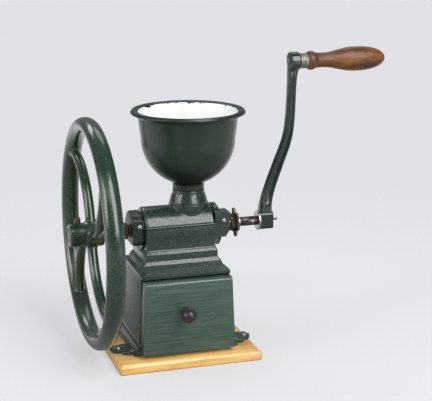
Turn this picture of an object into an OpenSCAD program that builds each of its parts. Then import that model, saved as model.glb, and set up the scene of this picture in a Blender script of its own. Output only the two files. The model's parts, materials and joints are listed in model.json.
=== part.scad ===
// Table coffee mill with a flywheel, a crank, a bowl hopper and a drawer.
// The origin is the centre of the board's underside. X runs along the shaft towards the crank,
// the drawer faces -Y and Z is up. Every size is in millimetres.

/* [Board] */
// Width of the wooden board along the shaft
board_w = 177; // [165:1:190]
// Depth of the wooden board
board_d = 141; // [136:1:160]
// Thickness of the wooden board
board_h = 12; // [10:0.5:16]
// Bevel round the board's upper edge
board_bevel = 3; // [1:0.5:4]

/* [Box casting] */
// Width across the side walls at their waist
box_w = 109; // [105:1:114]
// Depth from the walls' front edges to the back wall's outside
box_d = 94; // [88:1:98]
// Height of the box from the board to its eaves
box_h = 100; // [96:1:110]
// How far each side wall spreads from its waist to its foot
wall_flare = 3; // [2:0.5:4.5]
// Width of the hollow that takes the drawer
cavity_w = 100; // [96:1:101]
// Thickness of the back wall
back_t = 4.5; // [3:0.5:7]
// Thickness of the box's ceiling at the eaves
ceiling_t = 6; // [4:0.5:8]
// How far the foot skirt stands out from the wall
skirt_out = 5.5; // [3:0.5:7]
// Height of the foot skirt
skirt_h = 15; // [12:1:20]
// How far the eaves overhang the walls' front edges
eave_out = 4; // [2:0.5:5]
// Thickness of the eaves' lip
eave_t = 4; // [2:0.5:5]

/* [Shoulder mouldings] */
// Rise of the sloping shelf above the eaves
shelf_rise = 4.5; // [3:0.5:7]
// Height of the small step at the shelf's top
step_h = 2; // [1:0.5:3]
// Height of the curved shoulder under the neck
cove_h = 18.6; // [14:0.1:20]
// Spread of the shoulder along the shaft
cove_out_x = 5.5; // [4:0.5:7]
// Spread of the shoulder across the shaft
cove_out_y = 3.5; // [2:0.5:6]

/* [Neck and grinding chamber] */
// Length of the neck and housing along the shaft
neck_w = 86; // [84:1:90]
// Depth of the neck across the shaft
neck_d = 60; // [60:1:64]
// Place of the neck's middle along the shaft
neck_x = -1.5; // [-2.5:0.5:0]
// Height of the shaft above the board
axis_h = 145.3; // [144:0.1:150]
// Height of the joint between the castings above the shaft
split_h = 7.3; // [6:0.1:9]
// Height of the flange band under that joint
band_h = 11.3; // [9:0.1:13]
// How far the flange band stands out
band_out = 1; // [0.5:0.5:2]
// Height of the housing's own flange above the joint
flange_h = 2.4; // [1.5:0.1:4]
// Outside radius of the housing
house_r = 28; // [27.5:0.5:29]
// Radius of the grinding chamber's bore
chamber_r = 22; // [21:0.5:23]
// Thickness of the chamber's end wall on the crank side
end_wall_t = 5.5; // [4:0.5:7]
// Radius of the hole in that end wall
end_hole_r = 12; // [11:0.5:13]
// Length of the chute's mouth along the shaft
chute_w = 16; // [12:1:17]
// Width of the chute across the shaft
chute_d = 30; // [24:1:34]

/* [Bowl] */
// Place of the bowl's middle along the shaft
bowl_x = 16.1; // [15.5:0.1:16.6]
// Height of the housing's collar above the shaft
collar_h = 47.7; // [45:0.1:50]
// Outside radius of the collar at its foot
collar_r = 23.5; // [22:0.1:23.7]
// Outside radius of the bowl's neck
bowl_neck_r = 19.3; // [18:0.1:20.5]
// Length of the bowl's neck
bowl_neck_h = 8.8; // [7:0.1:12]
// Radius of the bowl's round bottom
bowl_r = 57; // [52:0.5:60]
// Height of the bowl's straight side above the round bottom
bowl_side_h = 24; // [20:0.5:28]
// Spread of the straight side
bowl_draft = 3; // [1.5:0.1:4]
// Height of the rim's flare above the straight side
rim_h = 7; // [5.5:0.5:10]
// Radius of the bowl at its rolled rim
rim_r = 69.2; // [67:0.1:72]
// Radius of the rim's rolled bead
bead_r = 2.5; // [2:0.1:3]
// Thickness of the bowl's wall
bowl_t = 3; // [2.5:0.1:4]
// Radius of the bowl's throat
throat_r = 13.5; // [11:0.5:14.5]
// Depth of the bowl's spigot in the collar
spigot_h = 14; // [8:1:18]

/* [Bearings] */
// Gap between the housing's end and each bearing block
block_gap = 2; // [1:0.5:3]
// Radius of the bearing block on the wheel's side
left_block_r = 24.5; // [23:0.5:26]
// Length of the bearing block on the wheel's side
left_block_w = 12.5; // [11:0.5:14]
// How far the wheel side's block reaches below the shaft
left_drop = 14; // [12:0.5:16]
// How far that block's front pad reaches above the shaft
left_pad_up = 15.2; // [13:0.1:17]
// How far that block's front pad reaches below the shaft
left_pad_down = 8; // [5:0.5:11]
// Radius of the bearing block on the crank side
right_block_r = 27; // [25:0.5:28]
// Length of the bearing block on the crank side
right_block_w = 7.5; // [6:0.5:9]
// How far the crank side's block reaches below the shaft
right_drop = 12; // [11.5:0.5:13.5]
// How far that block's front pad reaches above the shaft
right_pad_up = 19.5; // [16:0.5:21]
// How far that block's front pad reaches below the shaft
right_pad_down = 11; // [7:0.5:11.5]
// Radius of the crank side's round nose
nose_r = 16; // [13:0.5:17]
// Length of the crank side's round nose
nose_w = 13; // [12:0.5:14]
// Distance of the blocks' flat front faces from the shaft
pad_y = 22.5; // [21.5:0.5:24]
// Height of the front screws above the shaft
screw_up = 9.2; // [9:0.1:12]
// Outside radius of the brass bush
bush_r = 8; // [7:0.5:8]
// Radius of each front screw's head
front_head_r = 3; // [2.5:0.1:3.5]

/* [Shaft] */
// Radius of the shaft where it runs in its bearings
shaft_r = 4.75; // [4.5:0.05:5.5]
// Radius of the thicker end that carries the crank
shoulder_r = 5.7; // [5.6:0.1:6.5]
// Clearance round the shaft in its bearings
run_clear = 0.06; // [0.03:0.01:0.1]
// Width of the steel collar beside the left block
collar_w = 5; // [4:0.5:6]
// Radius of the steel collar beside the left block
shaft_collar_r = 10; // [8:0.5:12]
// Gap between that collar and the left block
collar_gap = 1.6; // [1.3:0.1:2.5]
// Radius of the thin peg at the shaft's crank end
peg_r = 1.3; // [1:0.1:3]
// Reach of that peg beyond the crank's foot
peg_l = 7; // [3:1:12]
// Radius of the cross pin in front of the crank
cross_pin_r = 1.6; // [1.2:0.1:2.5]
// Distance of the cross pin from the crank's foot
cross_pin_back = 9; // [6:0.5:12]

/* [Grind adjuster] */
// Outside radius of the threaded sleeve
sleeve_r = 7; // [6.8:0.1:7.4]
// Pitch of the sleeve's thread
thread_pitch = 2; // [1:0.5:2]
// Radius of the star nut's points
star_r = 18; // [16:0.5:20]
// Number of the star nut's points
star_points = 6; // [5:1:8]
// Turn of the star's first point from the back
star_turn = 15; // [0:1:60]
// Thickness of the star
star_t = 3; // [2.5:0.5:5]
// Radius of the star nut's hub
star_hub_r = 10; // [9:0.5:11]
// Length of the hub beside the star
star_hub_w = 6; // [4:0.5:7]
// Bare length of sleeve between nose and star nut
sleeve_show = 4; // [3:0.5:6]
// Thickness of the thrust washer
thrust_t = 1.6; // [1:0.1:2.5]
// Radius of the thrust washer
thrust_r = 7.5; // [7:0.5:9]

/* [Burrs] */
// Length of both burrs along the shaft
burr_l = 16; // [13:1:17]
// Place of the burrs' crank-side end
burr_x = -7; // [-9:1:-6]
// Radius of the rotating burr at its narrow end
cone_r0 = 10.5; // [9.5:0.5:11]
// Radius of the rotating burr at its wide end
cone_r1 = 18; // [16:0.5:18]
// Gap between the burrs, measured from the shaft
burr_gap = 0.8; // [0.6:0.1:1.2]
// Number of teeth on each burr
burr_teeth = 14; // [10:1:18]
// Depth of the grooves between the teeth
tooth_h = 1.6; // [1:0.1:2]
// Radius of the pin that turns the rotating burr
burr_pin_r = 1.55; // [1.2:0.05:1.8]
// Length of the pin that turns the rotating burr
burr_pin_l = 17.8; // [14:0.2:20]
// Radius of the feed worm's blade
worm_r = 14; // [11:0.5:15]
// Length of the feed worm
worm_l = 34; // [28:1:36]

/* [Flywheel] */
// Outside radius of the flywheel
wheel_r = 140; // [125:1:142]
// Place of the rim's middle along the shaft
wheel_x = -105.2; // [-108:0.1:-102]
// Half width of the rim along the shaft
rim_a = 11.1; // [9:0.1:12.5]
// Half thickness of the rim from the shaft outwards
rim_b = 9.2; // [8:0.1:11]
// Radius of the arc that each spoke follows
spoke_arc_r = 90; // [84:1:100]
// Direction in which the first spoke leaves the hub
spoke_turn = 96; // [0:1:96]
// Width of a spoke
spoke_w = 12; // [10:0.5:14]
// Thickness of a spoke along the shaft
spoke_t = 12.5; // [9:0.5:14]
// Number of spokes
spokes = 4; // [3:1:5]
// Radius of the hub's outer boss
boss_r = 14; // [12:0.5:16]
// Length of the hub's outer boss
boss_w = 20.5; // [16:0.5:26]
// Radius of the hub where the spokes spring
root_r = 15.5; // [15:0.5:20]
// Length of the hub where the spokes spring
root_w = 21.5; // [18:0.5:23]
// Distance from the rim's middle to the hub's inner end
hub_in = 14.2; // [12:0.1:16]
// Radius of the hub screw's shank
hub_screw_r = 3; // [2.5:0.1:3.2]
// Height of the hub screw's square head
hub_head_h = 7; // [5:0.5:9]

/* [Crank] */
// Distance from the shaft to the grip's axis
crank_r = 197; // [180:1:205]
// Place of the crank's foot along the shaft
crank_x = 106.4; // [104:0.1:110]
// Length of the crank's foot along the shaft
foot_w = 18; // [16:0.5:20]
// Radius of the crank's foot
foot_r = 11; // [10:0.5:13]
// How far the crank's arm steps outwards
arm_step = 33.4; // [24:0.1:36]
// Thickness of the arm along the shaft at its top
arm_t = 11; // [9:0.1:14]
// Thickness of the arm along the shaft at its foot
arm_foot_t = 15; // [12:0.5:17]
// Width of the arm across the shaft
arm_w = 9; // [8:0.5:12]
// Depth of the channel along each side of the arm
channel_d = 1.5; // [0.5:0.5:2.5]
// Radius of the boss that holds the grip
eye_r = 11.4; // [10:0.1:13]
// Length of the boss that holds the grip
eye_w = 11.8; // [9:0.1:16]
// Distance from the arm's wheel side to the boss
eye_set = 1.9; // [0.5:0.1:3]
// Radius of the washer against the crank's foot
crank_washer_r = 12; // [9:0.5:13]
// Thickness of the washer against the crank's foot
crank_washer_t = 2.2; // [1.5:0.1:3]

/* [Grip] */
// Radius of the grip's steel spindle
spindle_r = 4; // [3:0.1:4.5]
// Radius of the metal ferrule
ferrule_r = 9.4; // [8:0.1:9.8]
// Length of the metal ferrule
ferrule_w = 11.1; // [8:0.1:13]
// Length of the wooden grip
grip_l = 102.6; // [90:0.1:115]
// Largest radius of the wooden grip
grip_r = 15; // [13.5:0.1:17]
// Play between the ferrule and the crank
grip_play = 0.5; // [0.3:0.1:1]

/* [Drawer] */
// Thickness of the drawer's front
front_t = 13.5; // [9:0.5:16]
// Gap between the drawer's front and the walls
front_gap = 0.5; // [0.3:0.1:1]
// Gap between the drawer's front and the lip above it
top_gap = 1.5; // [0.5:0.1:2.5]
// How far each wall shows beside the drawer's front
front_inset = 1; // [0.5:0.5:4]
// Height of the drawer's front above the board
front_up = 4.5; // [2:0.5:6]
// Thickness of the drawer's sides and back
side_t = 6; // [4:0.5:8]
// Thickness of the drawer's bottom
bottom_t = 4; // [3:0.5:6]
// Height of the drawer's sides
side_h = 80; // [60:1:84]
// Clearance round the drawer
drawer_clear = 1.5; // [1:0.1:2.5]
// Radius of the knob
knob_r = 9; // [7:0.5:11]
// Height of the knob above the board
knob_h = 56.5; // [45:0.5:60]
// Place of the knob beside the drawer's middle
knob_x = -5.7; // [-8:0.1:8]
// Length of the knob's neck
knob_neck = 10.8; // [4:0.2:14]

/* [Foot lugs] */
// Thickness of each foot lug
lug_t = 4.5; // [3:0.5:6]
// How far the side lugs reach out from the middle
lug_x = 80.5; // [78:0.5:82]
// Place of the side lugs' screws in front of the shaft
lug_y = 22; // [18:0.5:26]
// Radius of each foot screw's shank
foot_screw_r = 2; // [1.5:0.1:2.4]
// Radius of each foot screw's head
foot_head_r = 4.2; // [3.5:0.1:5]
// How deep each foot screw reaches into the board
foot_hold = 8; // [6:0.5:9]

/* [Hidden] */

green = [0.13, 0.22, 0.17];
steel = [0.55, 0.55, 0.54];
rust = [0.36, 0.25, 0.18];
brass = [0.70, 0.56, 0.28];
enamel = [0.14, 0.23, 0.18];
pale_wood = [0.87, 0.66, 0.36];
grip_wood = [0.45, 0.24, 0.12];
drawer_wood = [0.72, 0.56, 0.38];
ebony = [0.05, 0.05, 0.06];

// Heights above the floor
z_eave = board_h + box_h;
z_step = z_eave + shelf_rise;
z_cove0 = z_step + step_h;
z_cove1 = min(z_cove0 + cove_h, board_h + axis_h - 20);
z_axis = board_h + axis_h;
z_split = z_axis + split_h;
z_band = z_split - band_h;
z_collar = z_axis + collar_h;
z_sphere = z_collar + bowl_neck_h + sqrt(bowl_r * bowl_r - bowl_neck_r * bowl_neck_r);
z_side = z_sphere + bowl_side_h;
z_rim = z_side + rim_h;
z_ceiling = z_eave - ceiling_t;
z_lip = z_eave - eave_t - 0.6;
z_grip = z_axis + crank_r;

// Places along the shaft
neck_x0 = neck_x - neck_w / 2;
neck_x1 = neck_x + neck_w / 2;
left_block_x = neck_x0 - block_gap;
left_face_x = left_block_x - left_block_w;
right_block_x = neck_x1 + block_gap;
nose_x1 = right_block_x + right_block_w + nose_w;
star_hub_x = nose_x1 + sleeve_show;
star_x = star_hub_x + star_hub_w;
cap_t = 2;
thrust_x = star_x + star_t + cap_t;
shoulder_x = thrust_x + thrust_t;
sleeve_x1 = thrust_x - cap_t - 1.8;
foot_x1 = crank_x + foot_w;
arm_x = crank_x + foot_w / 2 + arm_step;
eye_x0 = arm_x - arm_t / 2 + eye_set;
eye_x1 = eye_x0 + eye_w;
ferrule_x = eye_x1 + grip_play;
grip_x = ferrule_x + ferrule_w;
hub_x0 = wheel_x + hub_in;
boss_x0 = hub_x0 - root_w - boss_w;
hub_screw_x = boss_x0 + 11;
crank_pin_x = crank_x - cross_pin_back;
burr_pin_x = burr_x - burr_l - 0.1;

// Places across the shaft
box_y0 = -box_d / 2 + 2;
box_y1 = box_y0 + box_d;
cavity_y1 = box_y1 - back_t;
front_y1 = box_y0 - front_gap;
front_y0 = front_y1 - front_t;
lug_back_y = box_y1 + 11;

// Half width of the box's side wall at height z
function wall_x(z) =
    let (waist = board_h + 0.76 * box_h, foot = board_h + skirt_h)
    box_w / 2 + wall_flare * pow((z - waist) / (waist - foot), 2);

// Points of a smooth line through the points p, with n steps between neighbours
function bend(p, n = 6) =
    let (last = len(p) - 1)
    concat(
        [for (i = [0 : last - 1]) for (k = [0 : n - 1])
            let (a = p[max(i - 1, 0)], b = p[i], c = p[i + 1], d = p[min(i + 2, last)], t = k / n)
            0.5 * (2 * b + (c - a) * t + (2 * a - 5 * b + 4 * c - d) * t * t
                + (3 * b - a - 3 * c + d) * t * t * t)],
        [p[last]]);

// Points of an arc round c with radius r, from angle a0 to a1
function arc(c, r, a0, a1, n) =
    [for (k = [0 : n]) let (a = a0 + (a1 - a0) * k / n) c + r * [cos(a), sin(a)]];

// A list in the opposite order
function reversed(p) = [for (i = [len(p) - 1 : -1 : 0]) p[i]];

// The shoulder's curve from its foot to its top, as offsets and heights
function cove(inner, out, n = 6) =
    [for (k = [0 : n]) [inner + out * (1 + cos(180 * k / n)) / 2, z_cove0 + (z_cove1 - z_cove0) * k / n]];

// Outline of one side of the casting seen from the front, from the board up to the joint
function side_outline() =
    let (skirt_z = board_h + skirt_h, half = neck_w / 2)
    concat(
        [[wall_x(skirt_z) + skirt_out, board_h], [wall_x(skirt_z) + skirt_out, board_h + 3]],
        [for (k = [1 : 4]) let (t = k / 4)
            [wall_x(skirt_z) + skirt_out * (1 - sin(90 * t)), board_h + 3 + (skirt_h - 3) * (1 - cos(90 * t))]],
        [for (k = [1 : 8]) let (z = skirt_z + (z_eave - skirt_z) * k / 8) [wall_x(z), z]],
        [[half + cove_out_x + 1.6, z_step], [half + cove_out_x + 1.6, z_cove0]],
        cove(half + 0.6, cove_out_x),
        [[half, z_cove1 + 0.8], [half, z_split]]);

// Outline of the casting seen from the side
function depth_outline() =
    let (half = neck_d / 2, skirt_z = board_h + skirt_h)
    concat(
        [[box_y0, board_h], [box_y0, z_lip], [box_y0 - eave_out, z_lip + 0.6], [box_y0 - eave_out, z_eave]],
        [[-half - cove_out_y - 1.8, z_step], [-half - cove_out_y - 1.8, z_cove0]],
        [for (p = cove(half + 0.6, cove_out_y)) [-p[0], p[1]]],
        [[-half, z_cove1 + 0.8], [-half, z_band], [-half - band_out, z_band], [-half - band_out, z_split]],
        [[half + band_out, z_split], [half + band_out, z_band], [half, z_band], [half, z_cove1 + 0.8]],
        reversed(cove(half + 0.6, cove_out_y)),
        [[half + cove_out_y + 1.8, z_cove0], [half + cove_out_y + 1.8, z_step]],
        [[box_y1, z_eave], [box_y1, skirt_z]],
        [for (k = [3 : -1 : 0]) let (t = k / 4)
            [box_y1 + skirt_out * (1 - sin(90 * t)), board_h + 3 + (skirt_h - 3) * (1 - cos(90 * t))]],
        [[box_y1 + skirt_out, board_h]]);

// A cylinder along X from x0 to x1 round the height z
module rod(x0, x1, r, z = z_axis, y = 0) {
    translate([x0, y, z])
        rotate([0, 90, 0])
            cylinder(h = x1 - x0, r = r, $fn = 64);
}

// A turned piece round the shaft, from a profile of points along X and their radii
module turned(profile, z = z_axis, steps = 96) {
    translate([0, 0, z])
        rotate([0, 90, 0])
            rotate_extrude($fn = steps)
                polygon([for (p = profile) [p[1], p[0]]]);
}

// A prism along Y whose outline is drawn from the front
module front_prism(points, y0, y1) {
    translate([0, y1, 0])
        rotate([90, 0, 0])
            linear_extrude(y1 - y0)
                polygon(points);
}

// A prism along X whose outline is drawn from the side
module side_prism(points, x0, x1) {
    translate([x0, 0, 0])
        rotate([90, 0, 90])
            linear_extrude(x1 - x0)
                polygon(points);
}

// Hollows of the grinding chamber, shared by both castings
module chamber_hollow() {
    rod(neck_x0 - 1, neck_x1 - end_wall_t, chamber_r);
    rod(neck_x1 - end_wall_t - 1, neck_x1 + 1, end_hole_r);
}

// Outline of one foot lug seen from above, with its screw at the origin and its root towards -X
module lug_outline() {
    difference() {
        union() {
            circle(r = 7.5, $fn = 40);
            polygon([[-22, -16], [-6, -13], [2, -6], [2, 6], [-6, 12], [-22, 14]]);
            translate([-9, -10])
                circle(r = 5.5, $fn = 32);
            translate([-8.5, 9])
                circle(r = 5.5, $fn = 32);
            translate([3.5, 11])
                circle(r = 3.2, $fn = 24);
            translate([6.3, 5])
                circle(r = 3, $fn = 24);
            translate([-2, 9.5])
                circle(r = 4, $fn = 24);
        }
        circle(r = foot_screw_r + 0.2, $fn = 32);
        translate([-9.5, 4])
            scale([1.5, 1.5])
                circle(r = 2, $fn = 24);
    }
}

// One foot lug with the raised scroll round its screw
module lug() {
    translate([0, 0, board_h])
        linear_extrude(lug_t)
            lug_outline();
    translate([0, 0, board_h + lug_t])
        difference() {
            linear_extrude(1.4)
                union() {
                    circle(r = 7, $fn = 40);
                    polygon([[-19, -14.5], [-6, -12], [-3, -6], [-19, -9.5]]);
                }
            translate([0, 0, -1])
                cylinder(r = foot_head_r + 0.6, h = 4, $fn = 32);
        }
}

module base_board() {
    color(pale_wood)
        difference() {
            intersection() {
                front_prism(board_outline(board_w), -board_d / 2, board_d / 2);
                side_prism(board_outline(board_d), -board_w / 2, board_w / 2);
            }
            lug_places()
                translate([0, 0, board_h - foot_hold])
                    cylinder(r = foot_screw_r, h = foot_hold + 2, $fn = 24);
        }
}

// Cross-section of the board for an overall width w
function board_outline(w) =
    [[-w / 2, 0], [w / 2, 0], [w / 2, board_h - board_bevel], [w / 2 - board_bevel, board_h],
     [-w / 2 + board_bevel, board_h], [-w / 2, board_h - board_bevel]];

// Puts its children at the screw of each foot lug
module lug_places() {
    translate([lug_x, -lug_y, 0])
        children();
    translate([-lug_x, -lug_y, 0])
        mirror([1, 0, 0])
            children();
    translate([0, lug_back_y, 0])
        rotate(90)
            children();
}

module mill_body() {
    right = side_outline();
    color(green)
        difference() {
            union() {
                intersection() {
                    front_prism(concat(
                        [for (p = right) [p[0] + shift_at(p[1]), p[1]]],
                        [for (p = reversed(right)) [-p[0] + shift_at(p[1]), p[1]]]),
                        box_y0 - eave_out, box_y1 + skirt_out);
                    side_prism(depth_outline(), -board_w / 2, board_w / 2);
                }
                lug_places()
                    lug();
            }
            translate([-cavity_w / 2, box_y0 - eave_out - 1, board_h - 1])
                cube([cavity_w, cavity_y1 - box_y0 + eave_out + 1, z_ceiling - board_h + 1]);
            chamber_hollow();
            translate([neck_x0 + 4, -chute_d / 2, z_ceiling - 1])
                cube([chute_w, chute_d, z_axis - z_ceiling]);
        }
}

// Sideways shift of the casting's outline at height z: the neck sits off the box's middle
function shift_at(z) = z > z_eave ? neck_x : 0;

module housing_cover() {
    bevel = 2.5;
    x0 = neck_x0 + 0.4;
    x1 = neck_x1 - 0.4;
    color(green)
        difference() {
            union() {
                difference() {
                    turned([[x0, 0], [x0, house_r - bevel], [x0 + bevel, house_r],
                        [x1 - 0.8, house_r], [x1, house_r - 0.8], [x1, 0]]);
                    translate([neck_x0 - 1, -house_r - 1, z_axis - house_r - 1])
                        cube([neck_w + 2, 2 * house_r + 2, house_r + 1 + split_h + flange_h / 2]);
                }
                translate([neck_x0, -neck_d / 2 - band_out, z_split])
                    cube([neck_w, neck_d + 2 * band_out, flange_h]);
                translate([bowl_x, 0, 0])
                    rotate_extrude($fn = 96)
                        polygon(collar_outline());
            }
            chamber_hollow();
            translate([bowl_x, 0, z_axis])
                cylinder(r = collar_bore(), h = collar_h + 1, $fn = 64);
        }
}

// Radius of the collar's bore, which takes the bowl's spigot
function collar_bore() = throat_r + bowl_t;

// Half section of the collar that carries the bowl
function collar_outline() =
    concat(
        [[0, z_split + 8], [collar_r - 1.8, z_split + 8], [collar_r, z_collar - 19.7], [collar_r, z_collar - 18.5],
         [collar_r + 0.7, z_collar - 18], [collar_r + 0.7, z_collar - 17], [collar_r - 0.2, z_collar - 16.5]],
        bend([[collar_r - 0.4, z_collar - 14.5], [bowl_neck_r + 2.2, z_collar - 9],
            [bowl_neck_r + 0.6, z_collar - 4.5], [bowl_neck_r, z_collar]], 3),
        [[0, z_collar]]);

// Half section of the bowl, outside first
function bowl_outline() =
    let (
        neck_a = acos(bowl_neck_r / bowl_r),
        inner_r = bowl_r - bowl_t,
        throat_a = acos(throat_r / inner_r),
        lip_r = bowl_r + bowl_draft)
    concat(
        [[throat_r, z_collar - spigot_h], [throat_r + bowl_t - 0.1, z_collar - spigot_h],
         [throat_r + bowl_t - 0.1, z_collar], [bowl_neck_r, z_collar]],
        arc([0, z_sphere], bowl_r, -neck_a, 0, 14),
        [[lip_r, z_side]],
        bend([[lip_r + 0.6, z_side + 0.32 * rim_h], [lip_r + 2.5, z_side + 0.66 * rim_h],
            [rim_r - bead_r, z_rim - 0.4 * bead_r]], 2),
        arc([rim_r - bead_r, z_rim + 0.6 * bead_r], bead_r, -70, 160, 8),
        bend([[lip_r + 0.5, z_rim], [lip_r - bowl_t + 0.6, z_side + 0.5 * rim_h], [lip_r - bowl_t, z_side - 2]], 2),
        arc([0, z_sphere], inner_r, 0, -throat_a, 14),
        [[throat_r, z_collar - spigot_h]]);

module hopper_bowl() {
    color(enamel)
        translate([bowl_x, 0, 0])
            rotate_extrude($fn = 128)
                polygon(bowl_outline());
}

// One bearing's front pad from x0 to x1 and from z0 to z1, with its corner cut on the side c
module pad(x0, x1, z0, z1, cut = 0) {
    front_prism([[x0, z0], [x1 - cut, z0], [x1, z0 + 1.6 * cut], [x1, z1], [x0, z1]], -pad_y, -2);
}

// Hole for the clamp screw at x
module screw_hole(x) {
    translate([x, 0, z_axis + screw_up])
        rotate([90, 0, 0])
            cylinder(r = 1.6, h = pad_y + 1, $fn = 24);
}

// Cuts one bearing's block flat in front, and underneath apart from a round nose with the radius keep
module block_cuts(x0, x1, drop, keep) {
    big = left_block_r + right_block_r;
    translate([x0, -pad_y - big, z_axis - big])
        cube([x1 - x0, big, 2 * big]);
    difference() {
        translate([x0, -big, z_axis - drop - big])
            cube([x1 - x0, 2 * big, big]);
        rod(x0 - 1, x1 + 1, keep);
    }
}

left_screw_x = left_block_x - left_block_w / 2 + 2;
right_screw_x = right_block_x + right_block_w + 3.4;

module left_bearing() {
    color(green)
        difference() {
            union() {
                rod(neck_x0 - block_gap - 1, neck_x0 + 5, chamber_r);
                turned([[left_face_x, 0], [left_face_x, left_block_r - 3], [left_face_x + 2, left_block_r],
                    [left_block_x, left_block_r], [left_block_x, 0]]);
                pad(left_face_x, left_block_x + 1, z_axis - left_pad_down, z_axis + left_pad_up);
            }
            block_cuts(left_face_x - 1, left_block_x, left_drop, bush_r);
            rod(left_face_x - 1, neck_x0 + 6, bush_r);
            screw_hole(left_screw_x);
        }
}

module left_bush() {
    color(brass)
        difference() {
            rod(left_face_x - 0.8, neck_x0 + 5, bush_r);
            rod(left_face_x - 2, neck_x0 + 6, shaft_r + run_clear);
        }
}

module right_bearing() {
    color(green)
        difference() {
            union() {
                rod(neck_x1 - end_wall_t, right_block_x + 1, end_hole_r);
                turned([[right_block_x, 0], [right_block_x, right_block_r], [right_block_x + right_block_w - 1.5,
                    right_block_r], [right_block_x + right_block_w, right_block_r - 1.5],
                    [right_block_x + right_block_w, nose_r], [nose_x1 - 2, nose_r], [nose_x1, nose_r - 3],
                    [nose_x1, 0]]);
                pad(right_block_x, nose_x1 - 2, z_axis - right_pad_down, z_axis + right_pad_up, 5);
            }
            block_cuts(right_block_x, nose_x1 + 1, right_drop, nose_r);
            rod(neck_x1 - end_wall_t - 1, nose_x1 + 1, sleeve_r);
            screw_hole(right_screw_x);
        }
}

module adjusting_sleeve() {
    groove = 0.5;
    turns = floor((sleeve_x1 - nose_x1) / thread_pitch);
    color(steel)
        turned(concat(
            [[neck_x1 - end_wall_t, shaft_r + run_clear], [neck_x1 - end_wall_t, sleeve_r], [nose_x1, sleeve_r]],
            [for (i = [0 : turns - 1]) for (s = [0, 1])
                [nose_x1 + (i + 0.5 * s + 0.25) * thread_pitch, s == 0 ? sleeve_r - groove : sleeve_r]],
            [[sleeve_x1, sleeve_r - groove], [sleeve_x1, shaft_r + run_clear]]));
}

// One clamp screw with a round slotted head, driven in from the front at x
module clamp_screw(x) {
    translate([x, -pad_y, z_axis + screw_up])
        rotate([-90, 0, 0])
            difference() {
                union() {
                    rotate_extrude($fn = 32)
                        polygon(concat([[0, 0]], arc([0, -0.2], front_head_r, 0, -60, 5), [[0, -2.7]]));
                    translate([0, 0, -0.3])
                        cylinder(r = 1.6, h = pad_y - 3, $fn = 24);
                }
                translate([-front_head_r - 1, -0.4, -4])
                    cube([2 * front_head_r + 2, 0.8, 2.2]);
            }
}

module clamp_screws() {
    color(brass) {
        clamp_screw(left_screw_x);
        clamp_screw(right_screw_x);
    }
}

// Grooves between the teeth of a burr whose working face is a cone from r0 to r1
module burr_grooves(r0, r1, side) {
    tilt = atan((r1 - r0) / burr_l);
    for (i = [0 : burr_teeth - 1])
        translate([burr_x, 0, z_axis])
            rotate([360 * i / burr_teeth, 0, 0])
                translate([0, 0, r0])
                    rotate([0, tilt, 0])
                        rotate([0, 0, 180 + side * 24])
                            translate([-2, 0, 0])
                                rotate([45, 0, 0])
                                    translate([0, -tooth_h / sqrt(2), -tooth_h / sqrt(2)])
                                        cube([burr_l * 1.5, tooth_h * sqrt(2), tooth_h * sqrt(2)]);
}

module fixed_burr() {
    color(steel)
        difference() {
            turned([[burr_x, cone_r0 + burr_gap], [burr_x, chamber_r - 0.1], [burr_x - burr_l, chamber_r - 0.1],
                [burr_x - burr_l, cone_r1 + burr_gap]]);
            burr_grooves(cone_r0 + burr_gap, cone_r1 + burr_gap, 1);
        }
}

module rotating_burr() {
    color(steel)
        difference() {
            turned([[burr_x, 0], [burr_x, cone_r0], [burr_x - burr_l, cone_r1], [burr_x - burr_l - 1.5, cone_r1],
                [burr_x - burr_l - 1.5, 0]]);
            burr_grooves(cone_r0, cone_r1, -1);
            rod(burr_x - burr_l - 3, burr_x + 1, shaft_r);
            translate([burr_x - burr_l - 2, -burr_pin_r - 0.05, z_axis - burr_pin_l / 2 - 0.1])
                cube([2 + burr_pin_r, 2 * burr_pin_r + 0.1, burr_pin_l + 0.2]);
        }
}

module burr_pin() {
    color(steel)
        translate([burr_pin_x, 0, z_axis - burr_pin_l / 2])
            cylinder(r = burr_pin_r, h = burr_pin_l, $fn = 24);
}

// Cross-section of the feed worm: a core with one blade
module worm_section() {
    difference() {
        union() {
            circle(r = 7, $fn = 20);
            polygon([[0, -6.5], [worm_r - 3, -3], [worm_r, 0], [worm_r - 2, 1.6], [3, 3]]);
        }
        circle(r = (shaft_r + 0.05) / cos(9), $fn = 20);
    }
}

module feed_worm() {
    color(steel)
        translate([burr_x + 2.5, 0, z_axis])
            rotate([0, 90, 0])
                linear_extrude(worm_l, twist = -400, slices = 22)
                    worm_section();
}

module thrust_washer() {
    color(steel)
        difference() {
            rod(thrust_x, shoulder_x, thrust_r);
            rod(thrust_x - 1, shoulder_x + 1, shaft_r + run_clear);
        }
}

module star_nut() {
    knob_r1 = star_r * 0.23;
    color(rust)
        difference() {
            union() {
                rod(star_hub_x, star_x + 0.5, star_hub_r);
                rod(star_x, star_x + star_t + cap_t, star_hub_r);
                translate([star_x, 0, z_axis])
                    rotate([90, 0, 90])
                        linear_extrude(star_t)
                            union() {
                                circle(r = star_r * 0.74, $fn = 48);
                                for (i = [0 : star_points - 1])
                                    rotate(360 * i / star_points + star_turn)
                                        translate([star_r - knob_r1, 0])
                                            circle(r = knob_r1, $fn = 24);
                            }
            }
            rod(star_hub_x - 1, thrust_x - cap_t, sleeve_r + run_clear);
            rod(star_hub_x, thrust_x + 1, shaft_r + 0.4);
        }
}

module main_shaft() {
    color(steel)
        difference() {
            union() {
                rod(boss_x0 + 1.5, shoulder_x, shaft_r);
                rod(shoulder_x, foot_x1 + 0.5, shoulder_r);
                rod(foot_x1, foot_x1 + peg_l, peg_r);
            }
            hub_screw_shank();
            translate([burr_pin_x, 0, z_axis - burr_pin_l / 2 - 1])
                cylinder(r = burr_pin_r + 0.05, h = burr_pin_l + 2, $fn = 24);
            crank_pin_hole();
        }
}

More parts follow.
